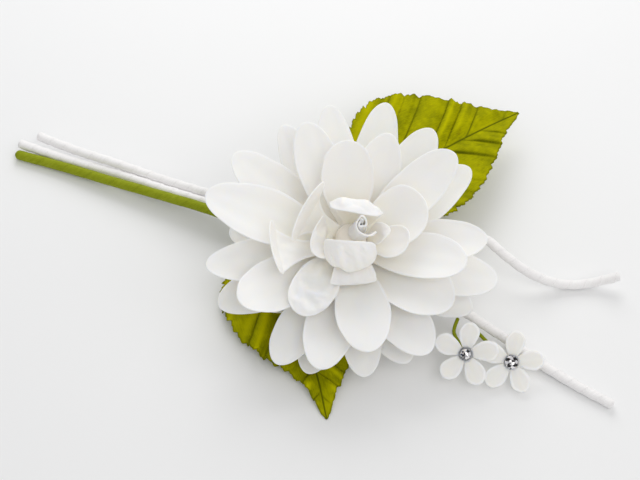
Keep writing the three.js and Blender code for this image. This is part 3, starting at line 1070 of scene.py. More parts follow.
    def _creases(
        self, down: np.ndarray, across: np.ndarray, taper: np.ndarray, chance: random.Random, count: int = 7
    ) -> np.ndarray:
        """The creases where the foam was stretched and glued.

        Args:
            down: shares of its length, as a column.
            across: places across it, from -1 to 1, as a row.
            taper: its width there as a share of the full width.
            chance: the petal's own random draws.
            count: how many sets of creases cross each other.

        Returns:
            Their lift, which fades out before the foot and the rim, in millimetres.
        """
        aside, far = across * taper * self.width / 2, down * self.length
        clear = smooth_step(1 - np.abs(across), 0.0, 0.35) * smooth_step(1 - down, 0.0, 0.16)
        clear = clear * smooth_step(down, 0.08, 0.3)
        lift = np.zeros_like(taper)
        for _ in range(count):
            angle = chance.uniform(0, math.pi)
            pitch = chance.uniform(*self.CREASE_PITCH)
            line = (aside * math.cos(angle) + far * math.sin(angle)) * math.pi / pitch
            bend = far * chance.uniform(0.2, 0.5) + aside * chance.uniform(-0.4, 0.4)
            ridge = np.sin(line + 0.8 * np.sin(bend) + chance.uniform(*ANY_PHASE)) ** 2
            lift = lift + self.crumple * clear * (ridge**2 - 0.375) * pitch / 9
        return lift


SKIRT = (
    PetalCut(34, 0.9, 37, 13, 9, 6),
    PetalCut(76, 0, 41, 13, 8, 6, blunt=1.9),
    PetalCut(118, 0.9, 37, 12, 10, 6),
    PetalCut(168, 0, 30, 12, 3, 4),
    PetalCut(213, 0.9, 25, 12, 2, 4),
    PetalCut(252, 0, 32.5, 12, 5, 2),
    PetalCut(296, 0.8, 31, 13, 3, 3),
    PetalCut(333, 0, 33, 13, 5, 3),
)
OUTER = (
    PetalCut(55, 2.9, 37, 13, 12, 6),
    PetalCut(98, 2, 38, 12, 12, 6),
    PetalCut(141, 2.9, 38, 14, 10, 5),
    PetalCut(205, 2.1, 35.3, 13, 4, 4),
    PetalCut(239, 3, 34.5, 13, 5, 4),
    PetalCut(276, 2.1, 32.5, 12, 6, 3),
    PetalCut(346, 2.9, 37, 15, 4, 3),
)
MIDDLE = (
    PetalCut(0, 4.9, 33.5, 13.5, 12, 5),
    PetalCut(70, 4, 30, 13, 20, 8),
    PetalCut(112, 4.9, 33, 13, 20, 6),
    PetalCut(189, 4, 36, 13, 8, 4),
    PetalCut(257, 4.9, 33, 15, 8, 4),
    PetalCut(303, 4, 33, 15, 7, 4),
)
UPPER = (
    PetalCut(38, 6.9, 34, 14, 18, 6, foot=0.32),
    PetalCut(93, 6.15, 26, 15, 30, 12, foot=0.28, belly=0.62, blunt=2.2),
    PetalCut(164, 6.9, 38, 16, 14, 6),
    PetalCut(212, 6, 32, 16, 11.6, 8),
    PetalCut(278.5, 7, 28.5, 15, 11.2, 4),
    PetalCut(325, 5.8, 29.2, 17, 12.4, 4),
)
INNER = (
    PetalCut(345, 8, 29, 14, 14, 10, cup=0.06),
    PetalCut(22, 8.9, 19.6, 17.2, 19, 16, cup=0.06, sway=6, foot=0.42, belly=0.55, blunt=2.1),
    PetalCut(
        152, 9.9, 16.6, 19, 20, 0, 62, 0.5, 0.6,
        cup=0.02, foot=0.3, belly=0.82, blunt=3.4, fan=5, crumple=0.1,
    ),
    PetalCut(
        191, 9.1, 22.4, 15.4, 13, 0, 62, 0.68, 0.76,
        cup=0.03, foot=0.3, belly=0.86, blunt=3, fan=6, crumple=0.1,
    ),
    PetalCut(227, 7.9, 21.5, 12.8, 11.5, 12, -25, cup=0.06, sway=32, belly=0.6, blunt=2.5, crumple=0.5),
    PetalCut(352, 10.5, 14.1, 10, 9, 52, cup=0.1, foot=0.34, belly=0.62, blunt=2.6),
)
BUD = (
    PetalCut(274, 10.6, 8.2, 12.6, 6, 0, -18, foot=0.5, belly=0.85, blunt=4, cup=0.03, crumple=0.2),
    PetalCut(268, 11.55, 16.6, 15.7, 0, 40, 95, 0.12, 0.52, belly=0.72, blunt=4.2, cup=0.11, crumple=0.6),
    PetalCut(192, 10.9, 10.2, 11.6, 46, 18, cup=0.03, sway=-34, belly=0.66, blunt=2.6, crumple=0.25),
    PetalCut(77, 10.6, 16, 15.4, 55, 20, 85, 0.45, 0.8, cup=0.08, belly=0.66, blunt=3.2, crumple=0.4),
    PetalCut(5, 11.5, 8.2, 6.4, 40, 30, -50, belly=0.5, blunt=1.5, cup=0.1, crumple=0.2),
)
ROUNDS = {
    Round.SKIRT: SKIRT,
    Round.OUTER: OUTER,
    Round.MIDDLE: MIDDLE,
    Round.UPPER: UPPER,
    Round.INNER: tuple(replace(cut, flute=0.05, wave=0.12) for cut in INNER),
    Round.BUD: tuple(replace(cut, flute=0.03, wave=0.06) for cut in BUD),
}


@dataclass(frozen=True)
class HeartCut:
    """The small petal in the middle of the bud, rolled up round itself.

    Attributes:
        middle: the roll's middle, beside the head's axis.
        inner: radius where the roll starts.
        outer: radius where it ends.
        turns: turns of the roll.
        first_angle: where the roll starts, in radians from +X.
        foam: thickness of its foam.
        height: from its foot to its top.
        closing: how much narrower the roll's end is at the top, as a share.
        opening: how far the roll's end stands open at the top.
        opening_from: share of the roll where it starts to open.
        lean: how far its top leans towards +X.
        narrow: how much narrower the top is along X, as a share.
        shallow: how much narrower the top is along Y, as a share.
        oval: how far it is from round with two corners, as a share.
        corners: the same with three corners.
        pleat: depth of the fine pleats at the top.
        fold: depth of the broad folds at the top.
        inner_drop: how much lower the top is where the roll starts, as a share.
        outer_drop: how much lower the top is where the roll ends, as a share.
        crest: rise and fall of its top edge once a turn.
        nicks: depth of the fine nicks in its top edge.
    """

    middle: tuple[float, float] = (2.0, 1.2)
    inner: float = 0.25
    outer: float = 3.0
    turns: float = 1.9
    first_angle: float = 0.2
    foam: float = 0.55
    height: float = 7.2
    closing: float = 0.3
    opening: float = 3.4
    opening_from: float = 0.78
    lean: float = 0.8
    narrow: float = 0.3
    shallow: float = 0.04
    oval: float = 0.13
    corners: float = 0.06
    pleat: float = 0.07
    fold: float = 0.16
    inner_drop: float = 0.1
    outer_drop: float = 0.16
    crest: float = 0.55
    nicks: float = 0.15

    def sheet(self, rows: int, columns: int) -> Sheet:
        """The rolled petal's sheet.

        Args:
            rows: steps up it.
            columns: steps along the roll.

        Returns:
            The sheet, in the peony's own frame.
        """
        up = np.linspace(0, 1, rows + 1)[:, None]
        share = np.linspace(0, 1, columns + 1)[None, :]
        bulge = RIM_BULGE * self.foam
        angle = self.first_angle + FULL_TURN * self.turns * share
        closed = 1 - self.closing * share * up**1.6
        opened = self.opening * smooth_step(share, self.opening_from, 1.0) ** 1.4 * up
        radius = (self.inner + (self.outer - self.inner) * share) * closed + opened
        uneven = self.oval * np.sin(2 * angle + 0.6) + self.corners * np.sin(3 * angle + 2.2 * up)
        pleats = self.pleat * np.sin(29 * share + 1.3 - 3 * up) + self.fold * np.sin(3.1 * angle + 2.5 * up)
        radius = radius * (1 + uneven) + pleats * up
        dropped = self.inner_drop * (1 - share) ** 2 + self.outer_drop * share**2
        edge = self.crest * np.sin(angle - 0.4) + self.nicks * np.sin(23 * share)
        height = up * (self.height - bulge) * (1 - dropped) + edge * up**3
        aside = self.middle[0] + radius * np.cos(angle) * (1 - self.narrow * up) + self.lean * up
        behind = self.middle[1] + radius * np.sin(angle) * (1 - self.shallow * up)
        points = np.stack([aside, behind, CORE_TOP + GLUE_GAP + height], axis=-1)
        full = np.broadcast_to(up, (rows + 1, columns + 1)).copy()
        # The heart takes the painted warm shade low down and a painted highlight along its top edge.
        numbers = {"along": 0.35 + 0.5 * full, "rim": np.exp(-(((1 - full) * 8) ** 2))}
        scale = np.stack([np.broadcast_to(share, full.shape) * 3, full, np.zeros_like(full)], axis=-1)
        return Sheet(points, np.full_like(full, self.foam / 2), bulge, numbers, {"petal": scale})


@dataclass
class PeonyHead:
    """The foam head: rounds of petals and the rolled heart of the bud."""

    layout: Layout
    rows: int = 40
    columns: int = 26
    heart_rows: int = 28
    heart_columns: int = 180
    first_seed: int = 12

    def standing(self, turn: float = 0.0) -> list[Matrix]:
        """How the head stands in the layout.

        Args:
            turn: degrees round the head's axis, done first.

        Returns:
            The steps from the head's own frame to the layout.
        """
        lifted = Matrix.Translation((0, 0, FOOT_HEIGHT))
        tilted = Matrix.Rotation(math.radians(FACE_TILT), 4, "X")
        return [lifted, tilted, Matrix.Rotation(math.radians(turn), 4, "Z")]

    def build(self) -> None:
        """Makes every petal, then the heart."""
        seed = self.first_seed
        for name, cuts in ROUNDS.items():
            finish = BUD_FOAM if name is Round.BUD else FOAM
            for number, cut in enumerate(cuts, 1):
                finer = 2 if cut.crumple > 0 else 1
                sheet = cut.sheet(self.rows * finer, self.columns * finer, seed)
                self.piece(f"{name.value}_{number}", sheet, finish, cut.turn)
                seed += 1
        self.piece("bud_heart", HeartCut().sheet(self.heart_rows, self.heart_columns), BUD_FOAM)

    def piece(self, node: str, sheet: Sheet, finish: Finish, turn: float = 0.0) -> None:
        """Makes one piece of foam.

        Args:
            node: the CAD node that it stands for.
            sheet: its shape in the head's own frame.
            finish: its material.
            turn: degrees that it is turned round the head's axis.
        """
        made = self.layout.mesh(f"foam_{node}", *sheet.shell(), steps=self.standing(turn))
        self.layout.settle(made, finish, node)


@dataclass
class Backing:
    """The foam core under the petals and the felt disc that closes the peony's back."""

    layout: Layout
    head: PeonyHead
    core_radius: float = CORE_RADIUS
    core_shoulder: float = 15.0
    core_sides: int = 64
    disc_radius: float = 8.0
    disc_round: float = 0.35
    disc_sides: int = 160
    disc_ragged: float = 0.05

    def turned(
        self, name: str, outline: Sequence[tuple[float, float]], sides: int, wobble: float
    ) -> bpy.types.Object:
        """A closed solid of revolution about the head's axis.

        Args:
            name: the piece's name.
            outline: radius and height of each ring, from the bottom to the top.
            sides: faces round it.
            wobble: how far its outer edge runs in and out.

        Returns:
            The new object, without its finish.
        """
        angle = np.linspace(0, FULL_TURN, sides, endpoint=False)
        widest = max(radius for radius, _ in outline)
        ragged = np.sin(7 * angle) + 0.6 * np.sin(17 * angle + 1.1) + 0.4 * np.sin(41 * angle + 2.0) - 2.0
        circles = []
        for radius, height in outline:
            reach = radius + wobble * ragged * (radius / widest) ** 4
            level = np.full(sides, height)
            circles.append(np.stack([reach * np.cos(angle), reach * np.sin(angle), level], axis=-1))
        points = np.concatenate([*circles, [[0, 0, outline[0][1]], [0, 0, outline[-1][1]]]])
        rings = [range(start, start + sides) for start in range(0, len(outline) * sides, sides)]
        faces = [face for low, high in zip(rings, rings[1:]) for face in band(low, high)]
        bottom, top = len(points) - 2, len(points) - 1
        for k in range(sides):
            following = (k + 1) % sides
            faces.append((bottom, following, k))
            faces.append((top, rings[-1][k], rings[-1][following]))
        return self.layout.mesh(name, points, faces, steps=self.head.standing())

    def build(self) -> None:
        """Makes the core and the disc."""
        radius = self.core_radius
        foot = -GLUE_GAP / 2
        outline = [(0.5 * radius, foot), (radius - 0.2, foot), (radius, foot + 0.2)]
        outline += [(radius, height) for height in np.linspace(1, self.core_shoulder, 15)]
        outline += [(radius - 0.4, CORE_TOP - 0.9), (radius - 0.7, CORE_TOP - 0.35)]
        outline += [(radius - 1.1, CORE_TOP), (0.5, CORE_TOP)]
        core = self.turned("foam_core", outline, self.core_sides, 0.0)
        self.layout.settle(core, BARE_FOAM, "flower_core")
        top = -2 * GLUE_GAP
        bottom = top - DISC_THICKNESS
        radius = self.disc_radius
        edge = radius - self.disc_round
        outline = [(2.0, bottom), (5.0, bottom), (edge, bottom), (radius, bottom + self.disc_round)]
        outline += [(radius, top - self.disc_round), (edge, top), (5.0, top), (2.0, top)]
        disc = self.turned("felt_back_disc", outline, self.disc_sides, self.disc_ragged)
        self.layout.settle(disc, FELT, "back_disc")


@dataclass(frozen=True)
class Line:
    """A smooth line through places, which leaves each of them in step with the gaps on its two sides."""

    places: tuple[Place, ...]

    def points(self, steps: int = 48) -> np.ndarray:
        """Follows the line.

        Args:
            steps: points for each gap between two places.

        Returns:
            Points along the line, its two ends among them.
        """
        known = np.array(self.places, float)
        known = np.concatenate([[2 * known[0] - known[1]], known, [2 * known[-1] - known[-2]]])
        run = []
        for before, start, end, after in zip(known, known[1:], known[2:], known[3:]):
            pairs = ((before, start), (start, end), (end, after))
            first, second, third = (math.sqrt(np.linalg.norm(b - a)) for a, b in pairs)
            run_in, run_on, run_out = (start - before) / first, (end - start) / second, (after - end) / third
            leave = (run_in - (end - before) / (first + second) + run_on) * second
            reach = (run_on - (after - start) / (second + third) + run_out) * second
            w = np.linspace(0, 1, steps, endpoint=False)[:, None]
            cubic = (2 * start - 2 * end + leave + reach) * w**3
            square = (-3 * start + 3 * end - 2 * leave - reach) * w**2
            run.append(cubic + square + leave * w + start)
        return np.concatenate([*run, [known[-2]]])

    def even(self, count: int) -> tuple[np.ndarray, np.ndarray, float]:
        """Evenly spaced points.

        Args:
            count: how many.

        Returns:
            The points, the unit direction of the line at each, and its whole length.
        """
        dense = self.points()
        far = np.concatenate([[0.0], np.cumsum(np.linalg.norm(np.diff(dense, axis=0), axis=1))])
        wanted = np.linspace(0, far[-1], count)
        spaced = np.stack([np.interp(wanted, far, dense[:, k]) for k in range(3)], axis=-1)
        return spaced, unit(np.gradient(spaced, axis=0)), float(far[-1])


class PieceTree:
    """A Geometry Nodes tree that makes a piece from what an object carries, in millimetres."""

    NAME: str
    CARRIED: str
    MADE: str
    INPUTS: Mapping[str, float]

    def __init__(self) -> None:
        """Builds the tree, which ends in smooth shading, real geometry and the piece's material."""
        self.tree = bpy.data.node_groups.new(self.NAME, "GeometryNodeTree")
        self.sockets = {}
        self._input(self.CARRIED, "NodeSocketGeometry")
        for name, value in self.INPUTS.items():
            kind = "NodeSocketInt" if isinstance(value, int) else "NodeSocketFloat"
            self._input(name, kind).default_value = value
        self._input("Material", "NodeSocketMaterial")
        self.tree.interface.new_socket(self.MADE, in_out="OUTPUT", socket_type="NodeSocketGeometry")
        wiring = Wiring(self.tree)
        entry = wiring.node("NodeGroupInput")
        given = {socket.name: Flow(wiring, socket) for socket in entry.socket.node.outputs}
        grown = self.grown(wiring, given)
        soft = wiring.node("GeometryNodeSetShadeSmooth", None, {"Geometry": grown, "Shade Smooth": True})
        real = wiring.node("GeometryNodeRealizeInstances", None, {"Geometry": soft})
        sockets = {"Geometry": real, "Material": given["Material"]}
        dressed = wiring.node("GeometryNodeSetMaterial", None, sockets)
        exit_node = self.tree.nodes.new("NodeGroupOutput")
        self.tree.links.new(dressed.socket, exit_node.inputs[0])

    def _input(self, name: str, kind: str) -> bpy.types.NodeTreeInterfaceSocket:
        """Adds an input and notes its identifier.

        Args:
            name: the input's name.
            kind: its socket type.

        Returns:
            The new input.
        """
        made = self.tree.interface.new_socket(name, in_out="INPUT", socket_type=kind)
        self.sockets[name] = made.identifier
        return made

    def grown(self, wiring: Wiring, given: Mapping[str, Flow]) -> Flow:
        """The tree's own nodes.

        Args:
            wiring: makes the nodes.
            given: the tree's inputs, by name.

        Returns:
            The geometry that they make.
        """
        raise NotImplementedError

    def piece(
        self,
        carrier: bpy.types.Object,
        name: str,
        sizes: Mapping[str, float],
        finish: Finish,
        placed: Matrix,
    ) -> bpy.types.Object:
        """Makes a piece.

        Args:
            carrier: the object that the tree works on, which is used up.
            name: the piece's name.
            sizes: the tree's inputs that differ from its own values.
            finish: the piece's material.
            placed: from the carrier's millimetres to the frame.

        Returns:
            The piece as a plain mesh object.
        """
        grower = carrier.modifiers.new(self.NAME, "NODES")
        grower.node_group = self.tree
        for size, value in sizes.items():
            grower[self.sockets[size]] = value
        grower[self.sockets["Material"]] = finish.material()
        evaluated = carrier.evaluated_get(bpy.context.evaluated_depsgraph_get())
        mesh = bpy.data.meshes.new_from_object(evaluated)
        bpy.data.objects.remove(carrier)
        mesh.transform(placed)
        mesh.name = name
        return put(name, mesh)


class WindingTree(PieceTree):
    """Winds a paper strip round a wire along a curve."""

    NAME = "wound_strip"
    CARRIED = "Curve"
    MADE = "Mesh"
    INPUTS = {
        "Diameter": 2.7,
        "Strip Pitch": 4.0,
        "Lap Height": 0.1,
        "Crease Depth": 0.06,
        "End Round": 0.4,
        "Step": 0.4,
        "Sides": 28,
    }
    LINE_STEPS = 24
    END_FULLNESS = 0.16
    CREASE_STRETCH = (1.6, 1.6, 0.22)
    CREASE_SCALE = 1.7

    def grown(self, wiring: Wiring, given: Mapping[str, Flow]) -> Flow:
        """The bar with rounded ends, moved out and in along the strip's laps and creases.

        Args:
            wiring: makes the nodes.
            given: the tree's inputs, by name.

        Returns:
            The bar, with each point's place on the strip kept on it.
        """
        sockets = {"Curve": given["Curve"], "Length": given["Step"]}
        spaced = wiring.node("GeometryNodeResampleCurve", {"mode": "LENGTH"}, sockets)
        far = wiring.node("GeometryNodeSplineParameter", None, None, "Length")
        whole = wiring.node("GeometryNodeSplineLength", None, None, "Length")
        curve = self._keep(wiring, spaced, "far", far)
        curve = self._keep(wiring, curve, "centre", wiring.node("GeometryNodeInputPosition"), "FLOAT_VECTOR")
        to_end = far.at_most(whole - far)
        missing = 1 - (to_end / given["End Round"]).at_most(1.0)
        fullness = (1 - missing * missing).at_least(self.END_FULLNESS).root()
        sockets = {"Resolution": given["Sides"], "Radius": given["Diameter"] / 2}
        ring = wiring.node("GeometryNodeCurvePrimitiveCircle", {"mode": "RADIUS"}, sockets)
        share = wiring.node("GeometryNodeSplineParameter", None, None, "Factor")
        ring = self._keep(wiring, ring, "round", share)
        sockets = {"Curve": curve, "Profile Curve": ring, "Scale": fullness, "Fill Caps": True}
        bar = wiring.node("GeometryNodeCurveToMesh", None, sockets)
        run = self._kept(wiring, "far")
        centre = self._kept(wiring, "centre", "FLOAT_VECTOR")
        phase = self._kept(wiring, "round") + run / given["Strip Pitch"]
        lap = phase.fraction()
        angle = phase * FULL_TURN
        sockets = {"X": angle.cosine(), "Y": angle.sine(), "Z": run}
        wound = wiring.node("ShaderNodeCombineXYZ", None, sockets, "Vector")
        stretched = wiring.vector("MULTIPLY", wound, self.CREASE_STRETCH)
        crease = wiring.noise(stretched, self.CREASE_SCALE) - 0.5
        outward = wiring.vector("SUBTRACT", wiring.node("GeometryNodeInputPosition"), centre)
        rise = (lap - 0.5) * given["Lap Height"] + crease * given["Crease Depth"] * 2
        sockets = {"Vector": wiring.vector("NORMALIZE", outward), "Scale": rise}
        offset = wiring.node("ShaderNodeVectorMath", {"operation": "SCALE"}, sockets, "Vector")
        moved = wiring.node("GeometryNodeSetPosition", None, {"Geometry": bar, "Offset": offset})
        moved = self._keep(wiring, moved, "wound", wound, "FLOAT_VECTOR")
        return self._keep(wiring, moved, "lap", lap)

    @staticmethod
    def _keep(wiring: Wiring, geometry: Flow, name: str, value: Flow, kind: str = "FLOAT") -> Flow:
        """Stores a value on the geometry's points.

        Args:
            wiring: makes the node.
            geometry: what has the points.
            name: what the value is stored as.
            value: the value.
            kind: its data type.

        Returns:
            The geometry with the value on it.
        """
        settings = {"data_type": kind, "domain": "POINT"}
        sockets = {"Geometry": geometry, "Name": name, "Value": value}
        return wiring.node("GeometryNodeStoreNamedAttribute", settings, sockets)

    @staticmethod
    def _kept(wiring: Wiring, name: str, kind: str = "FLOAT") -> Flow:
        """Reads a stored value."""
        return wiring.node("GeometryNodeInputNamedAttribute", {"data_type": kind}, {"Name": name})

    def wind(
        self, layout: Layout, name: str, node: str, line: Line, finish: Finish, sizes: Mapping[str, float]
    ) -> None:
        """Winds a strip along a line and hands the piece over.

        Args:
            layout: places the piece.
            name: the piece's name.
            node: the CAD node that it stands for.
            line: where the wire runs.
            finish: the strip's material.
            sizes: the tree's inputs that differ from its own values.
        """
        points = line.points(self.LINE_STEPS)
        data = bpy.data.curves.new(f"{name}_line", "CURVE")
        data.dimensions = "3D"
        spline = data.splines.new("POLY")
        spline.points.add(len(points) - 1)
        spline.points.foreach_set("co", np.concatenate([points, np.ones((len(points), 1))], axis=1).ravel())
        made = self.piece(put(f"{name}_line", data), name, sizes, finish, layout.matrix())
        layout.settle(made, finish, node)


@dataclass
class Bundle:
    """The green stem and the two white wires, and the tape that binds them under the peony."""

    layout: Layout
    winding: WindingTree
    stem_diameter: float = 3.0
    wire_diameter: float = 2.7
    tape_length: float = 7.0
    tape_wall: float = 0.5
    tape_pitch: float = 2.3
    tape_lap: float = 0.16
    binding_steps: int = 42
    bend_steps: int = 14
    straight: float = 0.65
    middle: Place = (-9.5, 7.9, 6.3)
    lead: float = -0.46
    green_aside: tuple[float, float] = (-1.6, -0.9)
    front_aside: tuple[float, float] = (1.6, -0.9)
    back_aside: tuple[float, float] = (0.05, 1.85)

    def along(self) -> np.ndarray:
        """The direction that the bundle runs in."""
        return unit(np.array([1.0, self.lead, 0.0]))

    def aside(self) -> np.ndarray:
        """The level direction across the bundle."""
        return unit(np.array([-self.lead, 1.0, 0.0]))

    def through(self, seat: tuple[float, float]) -> list[Place]:
        """Where a bar runs straight through the binding.

        Args:
            seat: how far it lies beside and above the binding's middle.

        Returns:
            The two places between which it is straight.
        """
        centre = np.array(self.middle) + self.aside() * seat[0] + np.array([0, 0, seat[1]])
        half = self.along() * self.straight * self.tape_length
        return [tuple(centre - half), tuple(centre + half)]

    def lines(self) -> dict[str, Line]:
        """The routes of the three bars.

        Returns:
            Where each bar runs, by its CAD node.
        """
        stem = [(-99.8, 44, 1.5), (-85, 38.6, 2.2), (-70.5, 32.6, 3.3), (-55, 26.2, 4.7), (-41, 20.4, 5.8)]
        stem += [(-24, 12.7, 5.8), *self.through(self.green_aside)]
        stem += [(-3.4, 3.1, 5.3), (-1.5, 1.5, 6.1), (-0.9, 0.9, 7.9)]
        back = [(-93.4, 49.3, 3.6), (-82, 43.9, 3.7), (-69, 38.5, 4), (-55, 32.7, 3.8), (-41.4, 26.7, 5.1)]
        back += [(-33.5, 22.9, 6.6), (-26, 18.2, 8), *self.through(self.back_aside)]
        back += [(4, 4.6, 8.1), (16, 4.6, 9.6), (28, 5.3, 12.2), (38.5, 4.8, 12.2), (42.2, 2.4, 10.4)]
        back += [(46.5, 0, 7.9), (50.8, -1.8, 5.6), (56.7, -2.9, 3), (62.5, -3.1, 1.6), (68.2, -2.7, 1.9)]
        back += [(72.3, -2.4, 3.1), (76.3, -2.2, 4.8)]
        front = [(-99, 47.2, 2.6), (-84, 41.3, 2.3), (-69, 35.9, 2.5), (-55, 29.3, 3.9), (-41, 23.5, 4.6)]
        front += [(-26, 17, 5.2), *self.through(self.front_aside)]
        front += [(2, 4.4, 4.7), (8, 0.8, 5.1), (14, -3, 5.8), (28, -11.8, 5.5), (36, -17.1, 4)]
        front += [(44.6, -23.1, 2.7), (53.2, -30, 1.8), (62.3, -36.4, 1.45), (70.8, -41.8, 1.36)]
        named = {"green_stem": stem, "white_wire_back": back, "white_wire_front": front}
        return {node: Line(tuple(places)) for node, places in named.items()}

    def build(self) -> None:
        """Makes the three bars and their binding."""
        lines = self.lines()
        green = {
            "Diameter": self.stem_diameter - 0.1,
            "Strip Pitch": 8.0,
            "Lap Height": 0.07,
            "End Round": 1.1,
        }
        self.winding.wind(self.layout, "taped_stem", "green_stem", lines["green_stem"], STEM_TAPE, green)
        white = {
            "Diameter": self.wire_diameter,
            "Strip Pitch": 4.6,
            "Lap Height": 0.17,
            "Crease Depth": 0.08,
        }
        for side in ("back", "front"):
            node = f"white_wire_{side}"
            self.winding.wind(self.layout, f"wrapped_wire_{side}", node, lines[node], CREPE, white)
        self.binding()

    def outline(self) -> tuple[np.ndarray, np.ndarray]:
        """The binding's outline across the bundle.

        Returns:
            For each of its points, the middle of the bar that it bends round, and the direction out from it.
        """
        seats = [np.array(seat) for seat in (self.green_aside, self.front_aside, self.back_aside)]
        bent_round, facing = [], []
        for k, seat in enumerate(seats):
            last, following = seats[k - 1], seats[(k + 1) % 3]
            start = math.atan2(*(seat - last)[::-1]) - math.pi / 2
            end = math.atan2(*(following - seat)[::-1]) - math.pi / 2
            end += FULL_TURN if end < start else 0
            for angle in np.linspace(start, end, self.bend_steps):
                bent_round.append(seat)
                facing.append([math.cos(angle), math.sin(angle)])
        return np.array(bent_round), np.array(facing)

    def binding(self) -> None:
        """Makes the tape binding: a band round the three bars, with the laps of its turns."""
        seat, out = self.outline()
        count = len(seat)
        inside = self.stem_diameter / 2 + GLUE_GAP
        run = (np.arange(self.binding_steps + 1) / self.binding_steps - 0.5) * self.tape_length
        laps = 0.5 * fraction(run[:, None] / self.tape_pitch + np.arange(count)[None, :] / count)
        wall = inside + self.tape_wall + self.tape_lap * (laps - 0.5)
        profile = [*zip(wall, run), (np.full(count, inside), run[-1]), (np.full(count, inside), run[0])]
        origin, aside, along = np.array(self.middle), self.aside(), self.along()
        circles = []
        for reach, far in profile:
            flat = seat + out * reach[:, None]
            circles.append(origin + aside * flat[:, :1] + np.array([0, 0, 1]) * flat[:, 1:] + along * far)
        rings = [range(start, start + count) for start in range(0, len(profile) * count, count)]
        faces = [face for low, high in zip(rings, [*rings[1:], rings[0]]) for face in band(low, high)]
        far = np.repeat([far for _, far in profile], count)
        phase = np.tile(np.arange(count) / count, len(profile)) + far / self.tape_pitch
        wound = np.stack([np.cos(FULL_TURN * phase), np.sin(FULL_TURN * phase), far], axis=-1)
        numbers = {"lap": fraction(phase)}
        made = self.layout.mesh("tape_binding", np.concatenate(circles), faces, numbers, {"wound": wound})
        self.layout.settle(made, STEM_TAPE, "binding_tape")


